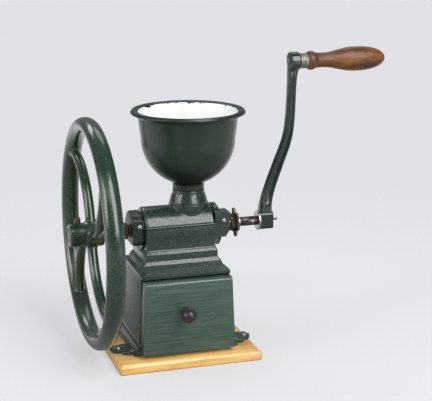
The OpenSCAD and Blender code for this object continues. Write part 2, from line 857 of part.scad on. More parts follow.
// Hole of the cross pin in the shaft's thick end
module crank_pin_hole() {
    translate([crank_pin_x, 2 * shoulder_r, z_axis])
        rotate([90, 0, 0])
            cylinder(r = cross_pin_r, h = 4 * shoulder_r, $fn = 24);
}

module crank_pin() {
    color(steel)
        translate([crank_pin_x, shoulder_r + 0.8, z_axis])
            rotate([90, 0, 0])
                cylinder(r = cross_pin_r, h = 2 * shoulder_r + 1.6, $fn = 24);
}

module shaft_collar() {
    x1 = left_face_x - 0.8 - collar_gap;
    color(rust)
        difference() {
            turned([[x1 - collar_w, 0], [x1 - collar_w, shaft_collar_r - 1], [x1 - collar_w + 1, shaft_collar_r],
                [x1, shaft_collar_r], [x1, 0]]);
            rod(x1 - collar_w - 1, x1 + 1, shaft_r);
        }
}

// Oval section with half axes a and b
function oval(a, b, n = 24) = [for (i = [0 : n - 1]) [a * cos(360 * i / n), b * sin(360 * i / n)]];

// Shank of the hub screw, which also cuts its hole
module hub_screw_shank() {
    translate([hub_screw_x, 0, z_axis - boss_r + 2])
        cylinder(r = hub_screw_r, h = 2 * boss_r - 1.5, $fn = 24);
}

module hub_screw() {
    color(rust)
        union() {
            hub_screw_shank();
            translate([hub_screw_x - 3.6, -3.6, z_axis + boss_r])
                cube([7.2, 7.2, hub_head_h]);
        }
}

module flywheel() {
    sweep = 2 * asin((wheel_r - rim_b) / (2 * spoke_arc_r));
    color(green)
        difference() {
            union() {
                translate([wheel_x, 0, z_axis])
                    rotate([90, 0, -90]) {
                        rotate_extrude($fn = 144)
                            translate([wheel_r - rim_b, 0])
                                polygon(oval(rim_b, rim_a));
                        for (i = [0 : spokes - 1])
                            rotate(360 * i / spokes + spoke_turn - 90)
                                translate([0, spoke_arc_r, 0])
                                    rotate(-90)
                                        rotate_extrude(angle = sweep, $fn = 96)
                                            translate([spoke_arc_r, 0])
                                                polygon(oval(spoke_w / 2, spoke_t / 2, 16));
                    }
                turned([[boss_x0, 0], [boss_x0, boss_r - 1.5], [boss_x0 + 1.5, boss_r], [hub_x0 - root_w, boss_r],
                    [hub_x0 - root_w, root_r - 1], [hub_x0 - root_w + 1, root_r], [hub_x0 - 2, root_r],
                    [hub_x0, root_r - 2], [hub_x0, 0]]);
            }
            rod(boss_x0 - 1, hub_x0 + 1, shaft_r);
            hub_screw_shank();
        }
}

module crank_washer() {
    color(steel)
        difference() {
            rod(crank_x - crank_washer_t, crank_x, crank_washer_r);
            rod(crank_x - crank_washer_t - 1, crank_x + 1, shoulder_r);
        }
}

// Middle line of the crank's arm seen from the front, from the shaft up
function arm_line() =
    let (foot = crank_x + foot_w / 2, top = arm_x, h = crank_r)
    bend([[foot, z_axis], [foot, z_axis + 0.09 * h], [foot + 0.15 * arm_step, z_axis + 0.2 * h],
        [foot + 0.47 * arm_step, z_axis + 0.35 * h], [foot + 0.8 * arm_step, z_axis + 0.5 * h],
        [top - 2.6, z_axis + 0.62 * h], [top - 0.8, z_axis + 0.8 * h], [top, z_axis + h]], 4);

// Thickness of the arm at height z, thicker towards the foot
function arm_thick(z) =
    let (t = (z - z_axis) / crank_r)
    arm_t + (arm_foot_t - arm_t) * pow(1 - min(1, max(0, t * 1.25)), 1.3);

// The arm's outline seen from the front, drawn in by s on both sides
function arm_outline(s) =
    let (line = arm_line())
    concat(
        [for (p = line) [p[0] - arm_thick(p[1]) / 2 + s, p[1]]],
        [for (p = reversed(line)) [p[0] + arm_thick(p[1]) / 2 - s, p[1]]]);

// Rounded top of the arm beside the boss, and the web that joins the arm to the boss underneath
module arm_head(half) {
    x0 = arm_x - arm_t / 2;
    x1 = arm_x + arm_t / 2;
    top = z_grip + sqrt(eye_r * eye_r - half * half);
    front_prism(concat([[arm_x, z_grip - 2], [x0, z_grip - 2]], arc([x0 + 5, top - 5], 5, 180, 90, 5), [[arm_x, top]]),
        -half, half);
    front_prism(concat([[arm_x, z_grip - 2.6 * eye_r]],
        bend([[x1 - 0.3, z_grip - 2.6 * eye_r], [x1, z_grip - 1.9 * eye_r], [x1 + 1, z_grip - 1.3 * eye_r],
            [eye_x1, z_grip - 0.85 * eye_r]], 3),
        [[eye_x1, z_grip - 0.6 * eye_r], [arm_x, z_grip - 0.6 * eye_r]]), -half, half);
}

module crank_arm() {
    half = arm_w / 2;
    color(green)
        difference() {
            union() {
                front_prism(arm_outline(0), -half, half);
                rod(crank_x, foot_x1, foot_r);
                rod(eye_x0, eye_x1, eye_r, z_grip);
                arm_head(half);
            }
            for (s = [-1, 1])
                intersection() {
                    front_prism(arm_outline(3.2), -half - 1, half + 1);
                    translate([crank_x - 5, s * (half - channel_d / 2) - channel_d / 2, z_axis + foot_r + 12])
                        cube([arm_step + 40, channel_d, crank_r - foot_r - 3 * eye_r - 12]);
                }
            rod(crank_x - 1, foot_x1 + 1, shoulder_r);
            rod(eye_x0 - 1, eye_x1 + 1, spindle_r, z_grip);
        }
}

module grip_spindle() {
    color(steel)
        rod(eye_x0 + 1, grip_x + grip_l - 14, spindle_r, z_grip);
}

module grip_ferrule() {
    color(steel)
        turned([[ferrule_x, spindle_r + run_clear], [ferrule_x, ferrule_r - 0.4], [ferrule_x + 0.8, ferrule_r],
            [grip_x, ferrule_r], [grip_x, spindle_r + run_clear]], z_grip);
}

// The grip's profile: distances from its mouth as shares of its length, and radii as shares of the largest
function grip_outline() =
    [for (p = bend([[0, 0.7], [0.01, 0.75], [0.045, 0.77], [0.075, 0.73], [0.11, 0.63], [0.2, 0.605],
        [0.29, 0.655], [0.4, 0.82], [0.52, 0.97], [0.63, 1], [0.73, 0.975], [0.84, 0.86], [0.93, 0.63],
        [0.985, 0.32], [1, 0]], 3)) [grip_x + grip_l * p[0], max(0, grip_r * p[1])]];

module wooden_grip() {
    bore_x1 = grip_x + grip_l - 13;
    bore_r = spindle_r + run_clear;
    color(grip_wood)
        turned(concat([[bore_x1, 0], [bore_x1, bore_r], [grip_x, bore_r]], grip_outline()), z_grip, 72);
}

// Half width of the drawer's front at height z
function front_half(z) = wall_x(z) - front_inset;

module drawer_front() {
    z0 = board_h + front_up;
    z1 = z_lip - top_gap;
    round_r = 4;
    color(green)
        difference() {
            intersection() {
                front_prism([[-front_half(z0), z0], [front_half(z0), z0], [front_half(z1), z1], [-front_half(z1), z1]],
                    front_y0, front_y1);
                side_prism(concat(
                    [[front_y0, z0], [front_y1, z0], [front_y1, z1]],
                    arc([front_y0 + round_r, z1 - round_r], round_r, 90, 180, 6)),
                    -box_w, box_w);
            }
            translate([knob_x, front_y1 + 1, board_h + knob_h])
                rotate([90, 0, 0])
                    cylinder(r = 2.2, h = front_t + 2, $fn = 24);
        }
}

drawer_x1 = cavity_w / 2 - drawer_clear;
drawer_y1 = cavity_y1 - drawer_clear - 1;
drawer_z0 = board_h + 0.3;

// One of the drawer's sides, standing on the side s
module drawer_side(s) {
    color(drawer_wood)
        translate([s > 0 ? drawer_x1 - side_t : -drawer_x1, front_y1, drawer_z0])
            cube([side_t, drawer_y1 - front_y1, side_h]);
}

module drawer_left_side() {
    drawer_side(-1);
}

module drawer_right_side() {
    drawer_side(1);
}

module drawer_back() {
    color(drawer_wood)
        translate([-drawer_x1 + side_t, drawer_y1 - side_t, drawer_z0])
            cube([2 * (drawer_x1 - side_t), side_t, side_h]);
}

module drawer_bottom() {
    color(drawer_wood)
        translate([-drawer_x1 + side_t, front_y1, drawer_z0 + 3])
            cube([2 * (drawer_x1 - side_t), drawer_y1 - side_t - front_y1, bottom_t]);
}

module drawer_knob() {
    neck_r = knob_r * 0.5;
    neck_l = knob_neck;
    color(ebony)
        translate([knob_x, front_y0, board_h + knob_h])
            rotate([90, 0, 0])
                difference() {
                    rotate_extrude($fn = 64)
                        polygon(concat(
                            [[0, 0], [neck_r + 1.4, 0], [neck_r + 1.2, 1], [neck_r, 2.5], [neck_r, neck_l - 1]],
                            arc([0, neck_l + knob_r * 0.8], knob_r, -50, 60, 12),
                            [[0, neck_l + knob_r * 1.72]]));
                    translate([0, 0, -1])
                        cylinder(r = 2, h = neck_l + knob_r * 0.35 + 1, $fn = 24);
                }
}

module knob_screw() {
    head_t = 1.8;
    color(steel)
        translate([knob_x, front_y1 + head_t, board_h + knob_h])
            rotate([90, 0, 0])
                union() {
                    cylinder(r = 4, h = head_t, $fn = 32);
                    cylinder(r = 2, h = head_t + front_t + knob_neck + knob_r * 0.35, $fn = 24);
                }
}

// One foot screw with a round slotted head, at the origin
module foot_screw() {
    top = board_h + lug_t;
    difference() {
        union() {
            translate([0, 0, board_h - foot_hold])
                cylinder(r = foot_screw_r, h = foot_hold + lug_t + 0.2, $fn = 24);
            translate([0, 0, top])
                rotate_extrude($fn = 32)
                    polygon(concat([[0, 0], [foot_head_r, 0]], arc([0, 0], foot_head_r * 0.99, 0, 35, 3),
                        [[0, 2.9]]));
        }
        translate([-foot_head_r - 1, -0.5, top + 1.5])
            cube([2 * foot_head_r + 2, 1, 3]);
    }
}

module foot_screws() {
    color(steel)
        lug_places()
            foot_screw();
}

base_board();
mill_body();
housing_cover();
hopper_bowl();
left_bearing();
left_bush();
right_bearing();
adjusting_sleeve();
clamp_screws();
fixed_burr();
foot_screws();
thrust_washer();
star_nut();
main_shaft();
shaft_collar();
flywheel();
hub_screw();
rotating_burr();
burr_pin();
feed_worm();
crank_pin();
crank_washer();
crank_arm();
grip_spindle();
grip_ferrule();
wooden_grip();
drawer_front();
drawer_left_side();
drawer_right_side();
drawer_back();
drawer_bottom();
drawer_knob();
knob_screw();
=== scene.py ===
"""Looks of a table coffee mill with a flywheel, a crank, a bowl hopper and a drawer.

Lengths are in millimetres in the makers' classes, and become metres where a mesh is made.
X runs along the shaft towards the crank, the drawer faces -Y and Z is up.
"""

from __future__ import annotations

import json
import logging
import math
from dataclasses import dataclass
from enum import Enum
from typing import Callable, Iterable, Sequence, Union

import bmesh
import bpy
from mathutils import Matrix, Vector

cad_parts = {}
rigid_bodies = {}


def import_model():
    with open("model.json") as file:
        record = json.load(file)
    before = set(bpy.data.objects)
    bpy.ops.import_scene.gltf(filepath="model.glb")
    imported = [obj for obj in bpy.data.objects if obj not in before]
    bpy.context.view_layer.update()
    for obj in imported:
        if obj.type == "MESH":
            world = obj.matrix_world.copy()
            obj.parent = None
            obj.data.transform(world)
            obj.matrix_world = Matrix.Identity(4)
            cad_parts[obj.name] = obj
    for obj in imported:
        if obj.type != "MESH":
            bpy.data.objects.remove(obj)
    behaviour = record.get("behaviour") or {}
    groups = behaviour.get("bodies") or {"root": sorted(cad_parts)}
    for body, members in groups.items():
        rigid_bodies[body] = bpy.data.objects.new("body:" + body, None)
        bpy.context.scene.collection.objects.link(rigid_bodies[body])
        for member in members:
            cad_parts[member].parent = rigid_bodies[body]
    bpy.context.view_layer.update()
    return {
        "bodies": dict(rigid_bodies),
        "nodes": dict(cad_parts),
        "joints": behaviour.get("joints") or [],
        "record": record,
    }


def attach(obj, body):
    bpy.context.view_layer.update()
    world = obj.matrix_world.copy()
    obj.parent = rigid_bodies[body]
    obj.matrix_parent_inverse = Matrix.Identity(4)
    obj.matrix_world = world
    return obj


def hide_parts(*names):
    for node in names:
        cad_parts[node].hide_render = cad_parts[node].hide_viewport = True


LOG = logging.getLogger("coffee_mill")
MM = 0.001

Point = tuple[float, float, float]
Profile = Sequence[tuple[float, float]]
Colour = tuple[float, float, float]
Ring = list[Vector]


class Body(str, Enum):
    """The mill's rigid bodies."""

    MILL = "mill"
    THRUST = "thrust_ring"
    ADJUSTER = "adjuster"
    ROTOR = "rotor"
    GRIP = "grip"
    DRAWER = "drawer"


class Slot(str, Enum):
    """The record's material slots."""

    BOARD = "board_wood"
    PAINT = "green_paint"
    ENAMEL = "enamel"
    BRASS = "brass"
    STEEL = "steel"
    RUST = "rusty_iron"
    BURR = "burr_iron"
    GRIP = "grip_wood"
    FRONT = "painted_wood"
    BARE = "drawer_wood"
    BLACK = "black_wood"


# Shader graphs


class Wire:
    """A value in a material's graph that Python's operators act on."""

    def __init__(self, graph: "Graph", socket: bpy.types.NodeSocket) -> None:
        """Keeps the graph and the socket that the value comes from."""
        self.graph = graph
        self.socket = socket

    def math(self, operation: str, *values: "Amount") -> "Wire":
        """Adds one Math node.

        Args:
            operation: The Math node's operation.
            values: The node's inputs in order.

        Returns:
            The node's result.
        """
        node = self.graph.node("ShaderNodeMath", {"operation": operation}, dict(enumerate(values)))
        return Wire(self.graph, node.outputs[0])

    def __add__(self, other: "Amount") -> "Wire":
        """Sum."""
        return self.math("ADD", self, other)

    def __radd__(self, other: "Amount") -> "Wire":
        """Sum with a number in front."""
        return self.math("ADD", other, self)

    def __sub__(self, other: "Amount") -> "Wire":
        """Difference."""
        return self.math("SUBTRACT", self, other)

    def __rsub__(self, other: "Amount") -> "Wire":
        """Difference with a number in front."""
        return self.math("SUBTRACT", other, self)

    def __mul__(self, other: "Amount") -> "Wire":
        """Product."""
        return self.math("MULTIPLY", self, other)

    def __rmul__(self, other: "Amount") -> "Wire":
        """Product with a number in front."""
        return self.math("MULTIPLY", other, self)

    def __pow__(self, other: "Amount") -> "Wire":
        """Power."""
        return self.math("POWER", self, other)

    def least(self, other: "Amount") -> "Wire":
        """The smaller of two values."""
        return self.math("MINIMUM", self, other)

    def most(self, other: "Amount") -> "Wire":
        """The larger of two values."""
        return self.math("MAXIMUM", self, other)

    def step(self, low: float, high: float) -> "Wire":
        """A smooth step from 0 at low to 1 at high.

        Args:
            low: Where the step starts.
            high: Where it ends, which may be below low for a falling step.

        Returns:
            The stepped value.
        """
        rising = high > low
        node = self.graph.node(
            "ShaderNodeMapRange",
            {"interpolation_type": "SMOOTHSTEP"},
            {0: self, 1: min(low, high), 2: max(low, high), 3: 0.0 if rising else 1.0, 4: 1.0 if rising else 0.0},
        )
        return Wire(self.graph, node.outputs[0])


Amount = Union[Wire, float]


class Graph:
    """The node graph of one material."""

    def __init__(self, name: str) -> None:
        """Starts an empty material called name."""
        self.material = bpy.data.materials.new(name)
        self.material.use_nodes = True
        self.tree = self.material.node_tree
        self.tree.nodes.clear()
        self.place = self.node("ShaderNodeTexCoord").outputs["Object"]

    def node(self, kind: str, settings: dict | None = None, inputs: dict | None = None) -> bpy.types.Node:
        """Adds one node.

        Args:
            kind: The node's type.
            settings: Its properties, set before its inputs. A ramp's stops are under "stops".
            inputs: Values, wires or sockets by input name or number.

        Returns:
            The new node.
        """
        node = self.tree.nodes.new(kind)
        for key, value in (settings or {}).items():
            if key == "stops":
                ramp = node.color_ramp
                while len(ramp.elements) < len(value):
                    ramp.elements.new(0.5)
                for element, (at, colour) in zip(ramp.elements, value):
                    element.position = at
                    element.color = (*colour, 1.0)
            else:
                setattr(node, key, value)
        for key, value in (inputs or {}).items():
            socket = node.inputs[key]
            if isinstance(value, Wire):
                value = value.socket
            if isinstance(value, bpy.types.NodeSocket):
                self.tree.links.new(value, socket)
            elif isinstance(value, tuple) and len(value) == 3 and socket.type == "RGBA":
                socket.default_value = (*value, 1.0)
            else:
                socket.default_value = value
        return node

    def stretched(self, stretch: Point = (1.0, 1.0, 1.0), shift: Point = (0.0, 0.0, 0.0)) -> bpy.types.NodeSocket:
        """Object coordinates, scaled by stretch and moved by shift."""
        mapping = self.node("ShaderNodeMapping", None, {"Vector": self.place, "Scale": stretch, "Location": shift})
        return mapping.outputs[0]

    def axis(self, index: int) -> Wire:
        """One of the object coordinates, in metres."""
        return Wire(self, self.node("ShaderNodeSeparateXYZ", None, {0: self.place}).outputs[index])

    def noise(self, size: float, detail: float = 4.0, rough: float = 0.55, stretch: Point = (1.0, 1.0, 1.0),
              shift: Point = (0.0, 0.0, 0.0)) -> Wire:
        """Soft noise.

        Args:
            size: The size of its largest blotches in millimetres.
            detail: How many finer layers it has.
            rough: How strong the finer layers are.
            stretch: A factor for the coordinates along each axis.
            shift: A move of the coordinates.

        Returns:
            The noise, mostly between 0.3 and 0.7.
        """
        node = self.node("ShaderNodeTexNoise", None, {"Vector": self.stretched(stretch, shift),
                                                      "Scale": 1.0 / (size * MM), "Detail": detail,
                                                      "Roughness": rough})
        return Wire(self, node.outputs[0])

    def cells(self, size: float, stretch: Point = (1.0, 1.0, 1.0)) -> Wire:
        """Distance from the nearest point of a random scatter with the given spacing."""
        node = self.node("ShaderNodeTexVoronoi", None, {"Vector": self.stretched(stretch), "Scale": 1.0 / (size * MM)})
        return Wire(self, node.outputs[0])

    def worn(self) -> Wire:
        """The piece's own record of its outer edges, from 0 on flats to 1 on sharp edges."""
        return Wire(self, self.node("ShaderNodeAttribute", {"attribute_name": "worn"}).outputs["Fac"])

    def mix(self, share: Amount, first: "Tint", second: "Tint") -> bpy.types.NodeSocket:
        """A colour between first and second."""
        node = self.node("ShaderNodeMix", {"data_type": "RGBA"}, {0: share, 6: first, 7: second})
        return node.outputs[2]

    def ramp(self, value: Wire, stops: Sequence[tuple[float, Colour]]) -> bpy.types.NodeSocket:
        """Colours laid out along a value."""
        return self.node("ShaderNodeValToRGB", {"stops": stops}, {0: value}).outputs[0]

    def surface(self, colour: "Tint", roughness: Amount, metallic: Amount = 0.0, coat: Amount = 0.0,
                height: Wire | None = None, relief: float = 0.1, specular: float = 0.5,
                veil: float = 0.12) -> bpy.types.Material:
        """Ends the graph in one surface.

        Args:
            colour: Base colour.
            roughness: Roughness.
            metallic: Metallic share.
            coat: Weight of the clear coat.
            height: Height of the relief from 0 to 1.
            relief: Depth of the relief in millimetres.
            specular: Specular level.
            veil: Roughness of the clear coat.

        Returns:
            The material.
        """
        inputs = {"Base Color": colour, "Roughness": roughness, "Metallic": metallic, "Coat Weight": coat,
                  "Coat Roughness": veil, "Specular IOR Level": specular}
        if height is not None:
            bump = self.node("ShaderNodeBump", None, {"Height": height, "Distance": relief * MM, "Strength": 1.0})
            inputs["Normal"] = bump.outputs[0]
        shader = self.node("ShaderNodeBsdfPrincipled", None, inputs)
        self.node("ShaderNodeOutputMaterial", None, {"Surface": shader.outputs[0]})
        return self.material


Tint = Union[Colour, bpy.types.NodeSocket]


@dataclass(frozen=True)
class CastPaint:
    """Old green gloss paint on cast iron, with grit under it and rust where it has worn off."""

    name: str
    paint: Colour = (0.010, 0.027, 0.015)
    pale: Colour = (0.026, 0.054, 0.037)
    rust: Colour = (0.11, 0.09, 0.06)
    gloss: float = 0.24
    grit: float = 0.5
    grain: float = 3.0
    speckle: float = 0.84
    coat: float = 1.0
    veil: float = 0.16
    sparkle: float = 0.12
    dull_with_seam_shade_below: float = 0.0

    def build(self) -> bpy.types.Material:
        """Makes the material."""
        graph = Graph(self.name)
        broad = graph.noise(45.0, 3.0)
        grit = graph.noise(self.grain, 1.0, 0.4)
        fleck = graph.noise(3.5, 5.0, 0.7)
        bare = (graph.worn() * 0.30 + fleck).step(self.speckle + 0.02, self.speckle + 0.08)
        speck = graph.noise(2.4, 2.0, 0.5, shift=(7.0, 3.0, 1.0)).step(0.40, 0.62)
        tone = graph.mix((broad * 0.6 + speck * 0.28).step(0.30, 0.66), self.paint, self.pale)
        colour = graph.mix(bare, tone, self.rust)
        roughness = self.gloss + broad * 0.06 + speck * self.sparkle + bare * 0.35
        height = grit - bare * 0.35
        coat: Amount = self.coat * (1.0 - bare) * (1.0 - speck * (self.sparkle * 2.6))
        if self.dull_with_seam_shade_below:
            level = graph.axis(2)
            low = level.step(0.026, 0.029) * level.step((self.dull_with_seam_shade_below + 4.0) * MM, self.dull_with_seam_shade_below * MM)
            height = height * (1.0 - low * 0.8) + graph.noise(3.6, 2.0, 0.5, stretch=(1.0, 1.0, 0.10)) * low * 0.8
            # Painted shade: the wall's front strip beside the drawer front is darkened to near black, standing in for
            # the shade in the gap between them.
            gap_shade = (graph.axis(1) + broad * 0.010).step(-0.030, -0.038) * low
            colour = graph.mix(low * 0.4, colour, self.paint)
            colour = graph.mix(gap_shade * 0.85, colour, (0.003, 0.005, 0.004))
            roughness = roughness + gap_shade * 0.3
            coat = coat * (1.0 - low * 0.7) * (1.0 - gap_shade)
        return graph.surface(colour, roughness, coat=coat, height=height, relief=self.grit, veil=self.veil)


@dataclass(frozen=True)
class BowlGlaze:
    """Smooth glassy coat of a bowl, with dark chips along its rim and, where asked, painted shade on its lower part."""

    name: str
    glaze: Colour
    iron: Colour = (0.020, 0.017, 0.015)
    rim: float = 301.0
    reach: float = 6.0
    gloss: float = 0.16
    coat: float = 0.2
    shade_below: float = 0.0
    chips: bool = False

    def build(self) -> bpy.types.Material:
        """Makes the material."""
        graph = Graph(self.name)
        broad = graph.noise(60.0, 3.0)
        wave = graph.noise(7.0, 2.0)
        deeper = tuple(0.86 * part for part in self.glaze)
        colour: Tint = graph.mix(broad.step(0.35, 0.7), self.glaze, deeper)
        level = graph.axis(2)
        # Painted shade: the glaze is darkened on the bowl's lower part, from 213 to 250 mm up, where shade falls.
        painted_underside_shade = level.step(0.250, 0.216) * level.step(0.209, 0.213) * self.shade_below
        colour = graph.mix(painted_underside_shade, colour, (0.002, 0.006, 0.003))
        height = wave * 0.6
        roughness: Amount = broad * 0.08 + self.gloss
        if self.chips:
            lift = level.step((self.rim - self.reach) * MM, self.rim * MM)
            back = graph.axis(1).step(0.0, 50.0 * MM)
            torn = graph.noise(13.0, 6.0, 0.62)
            chip = (lift * 0.30 + back * 0.06 + torn).step(0.83, 0.86)
            colour = graph.mix(chip, colour, self.iron)
            roughness = roughness + chip * 0.4
            height = height - chip * 1.2
        coat = self.coat * (1.0 - painted_underside_shade)
        return graph.surface(colour, roughness, coat=coat, height=height, relief=0.08, specular=0.42, veil=0.28)


@dataclass(frozen=True)
class PaintedGrain:
    """Green paint on a planed softwood board whose grain shows through."""

    name: str
    paint: Colour = (0.026, 0.058, 0.040)
    pale: Colour = (0.076, 0.130, 0.100)
    chip: Colour = (0.42, 0.44, 0.38)

    def build(self) -> bpy.types.Material:
        """Makes the material."""
        graph = Graph(self.name)
        sway = graph.noise(60.0, 2.0, stretch=(0.6, 1.0, 1.0))
        lines = graph.noise(1.6, 2.0, 0.5, stretch=(0.03, 1.0, 1.0))
        bands = graph.noise(7.0, 3.0, 0.5, stretch=(0.06, 1.0, 1.0))
        grain = lines * 0.82 + bands * 0.18
        fleck = graph.noise(1.6, 2.0, 0.5, shift=(3.0, 1.0, 2.0))
        spot = fleck.step(0.745, 0.77)
        tone = graph.mix((grain * 0.7 + sway * 0.3).step(0.30, 0.70), self.paint, self.pale)
        colour = graph.mix(spot, tone, self.chip)
        return graph.surface(colour, 0.30 + grain * 0.16, coat=0.7, height=grain, relief=0.14, veil=0.2)


@dataclass(frozen=True)
class Timber:
    """Wood with its grain along X, from a pale and a dark tone and a varnish."""

    name: str
    pale: Colour
    dark: Colour
    grain: float = 2.4
    gloss: float = 0.38
    coat: float = 0.3
    worn_tone: Colour | None = None
    edge_tone: Colour | None = None

    def build(self) -> bpy.types.Material:
        """Makes the material."""
        graph = Graph(self.name)
        streak = graph.noise(self.grain, 5.0, 0.6, stretch=(0.045, 1.0, 1.0))
        band = graph.noise(self.grain * 5.0, 3.0, 0.5, stretch=(0.10, 1.0, 1.0))
        pores = graph.noise(0.7, 2.0, 0.5, stretch=(0.12, 1.0, 1.0))
        figure = streak * 0.55 + band * 0.45
        colour: Tint = graph.mix(figure.step(0.38, 0.64), self.pale, self.dark)
        roughness = self.gloss + streak * 0.16
        if self.worn_tone is not None:
            rub = graph.noise(13.0, 6.0, 0.62, stretch=(0.4, 1.0, 1.0))
            patch = rub.step(0.42, 0.61)
            colour = graph.mix(patch * 0.8, colour, self.worn_tone)
            roughness = roughness + patch * 0.12
        if self.edge_tone is not None:
            colour = graph.mix(graph.worn().step(0.05, 0.5) * 0.8, colour, self.edge_tone)
        height = streak * 0.5 + pores * 0.5
        return graph.surface(colour, roughness, coat=self.coat, height=height, relief=0.07)


@dataclass(frozen=True)
class Metal:
    """Bare metal with a second tone in blotches, such as rust or tarnish."""

    name: str
    bright: Colour
    tarnish: Colour
    share: float = 0.5
    roughness: float = 0.3
    pits: float = 0.06
    size: float = 5.0

    def build(self) -> bpy.types.Material:
        """Makes the material."""
        graph = Graph(self.name)
        blotch = graph.noise(self.size, 6.0, 0.65)
        fine = graph.noise(0.9, 3.0, 0.6)
        middle = 0.72 - 0.44 * self.share
        dull = (blotch - graph.worn() * 0.12).step(middle - 0.05, middle + 0.09)
        colour = graph.mix(dull, self.bright, self.tarnish)
        rough = self.roughness + dull * 0.35 + fine * 0.08
        return graph.surface(colour, rough, metallic=1.0 - dull * 0.75, height=fine * 0.6 + dull * 0.4,
                             relief=self.pits)


@dataclass(frozen=True)
class Lacquer:
    """Black lacquer on a turned knob."""

    name: str
    tone: Colour = (0.016, 0.016, 0.021)

    def build(self) -> bpy.types.Material:
        """Makes the material."""
        graph = Graph(self.name)
        scuff = graph.noise(4.0, 5.0, 0.6)
        colour = graph.mix(scuff.step(0.55, 0.72), self.tone, (0.05, 0.05, 0.06))
        return graph.surface(colour, 0.24 + scuff * 0.3, coat=0.7, height=scuff, relief=0.08, veil=0.14)


class Finishes:
    """Every finish of the mill, made once."""

    def __init__(self) -> None:
        """Builds the materials."""
        self.cast = CastPaint("green cast iron").build()
        self.box = CastPaint("green cast box", dull_with_seam_shade_below=106.0).build()
        # Painted shade: a darker, duller copy of the green cast paint for the left bearing block, which sits in the
        # wheel's shade.
        self.shaded_cast = CastPaint("shaded cast iron", paint=(0.004, 0.010, 0.006), pale=(0.014, 0.030, 0.020),
                               rust=(0.024, 0.020, 0.016), speckle=0.72, coat=0.25, grit=0.9).build()
        self.wheel = CastPaint("green flywheel", paint=(0.008, 0.028, 0.014), pale=(0.022, 0.050, 0.025), grit=0.34,
                               grain=11.0, gloss=0.22, sparkle=0.02, veil=0.14).build()
        self.crank = CastPaint("green crank", paint=(0.004, 0.014, 0.009), pale=(0.012, 0.030, 0.022), grit=0.12,
                               grain=8.0, gloss=0.13, sparkle=0.03, veil=0.05).build()
        self.glaze_out = BowlGlaze("green bowl glaze", (0.010, 0.028, 0.012), gloss=0.26, coat=0.5, shade_below=0.92).build()
        self.glaze_in = BowlGlaze("white bowl glaze", (0.90, 0.90, 0.89), chips=True).build()
        self.front = PaintedGrain("painted drawer front").build()
        self.board = Timber("varnished board", (1.0, 0.65, 0.235), (0.74, 0.35, 0.085), coat=0.8,
                            edge_tone=(0.52, 0.24, 0.07)).build()
        self.grip = Timber("grip wood", (0.14, 0.048, 0.012), (0.034, 0.013, 0.006), 2.0, 0.34, 0.2,
                           (0.27, 0.095, 0.017)).build()
        self.dull = Metal("dull ferrule", (0.40, 0.36, 0.31), (0.15, 0.12, 0.09), 0.45, 0.48).build()
        self.bare = Timber("bare drawer wood", (0.50, 0.34, 0.19), (0.36, 0.23, 0.12), gloss=0.6, coat=0.0).build()
        self.steel = Metal("worn steel", (0.50, 0.49, 0.47), (0.17, 0.12, 0.09), 0.35, 0.28).build()
        self.bright = Metal("polished steel", (0.62, 0.60, 0.56), (0.25, 0.21, 0.17), 0.25, 0.3).build()
        self.brass = Metal("tarnished brass", (0.42, 0.35, 0.24), (0.11, 0.09, 0.07), 0.45, 0.32).build()
        self.rust = Metal("brown rusty iron", (0.34, 0.26, 0.19), (0.045, 0.030, 0.022), 0.74, 0.4, 0.16).build()
        self.browned = Metal("browned steel", (0.16, 0.13, 0.13), (0.035, 0.024, 0.026), 0.6, 0.3).build()
        self.burr = Metal("burr iron", (0.30, 0.30, 0.30), (0.10, 0.09, 0.08), 0.4, 0.4).build()
        self.black = Lacquer("black knob").build()


# Meshes


def smooth_line(points: Sequence[Sequence[float]], steps: int = 6) -> list[tuple[float, ...]]:
    """Points of a smooth line through the given points.

    Args:
        points: Points with any number of parts each.
        steps: Steps between neighbours.

    Returns:
        The points, with the first and the last as given.
    """
    last = len(points) - 1
    result = []
    for i in range(last):
        a, b, c, d = points[max(i - 1, 0)], points[i], points[i + 1], points[min(i + 2, last)]
        for k in range(steps):
            t = k / steps
            result.append(tuple(
                0.5 * (2 * q + (r - p) * t + (2 * p - 5 * q + 4 * r - s) * t * t + (3 * q - p - 3 * r + s) * t ** 3)
                for p, q, r, s in zip(a, b, c, d)))
    result.append(tuple(points[last]))
    return result


def arc(centre: tuple[float, float], radius: float, start: float, end: float, steps: int) -> list[tuple[float, float]]:
    """Points of an arc, with its angles in degrees."""
    turns = [math.radians(start + (end - start) * k / steps) for k in range(steps + 1)]
    return [(centre[0] + radius * math.cos(a), centre[1] + radius * math.sin(a)) for a in turns]


def rounded_box(x0: float, x1: float, y0: float, y1: float, radius: float, steps: int = 5) -> list[tuple[float, float]]:
    """Outline of a rectangle with rounded corners, counter-clockwise."""
    points: list[tuple[float, float]] = []
    for cx, cy, start in ((x1 - radius, y1 - radius, 0), (x0 + radius, y1 - radius, 90),
                          (x0 + radius, y0 + radius, 180), (x1 - radius, y0 + radius, 270)):
        points += arc((cx, cy), radius, start, start + 90, steps)
    return points


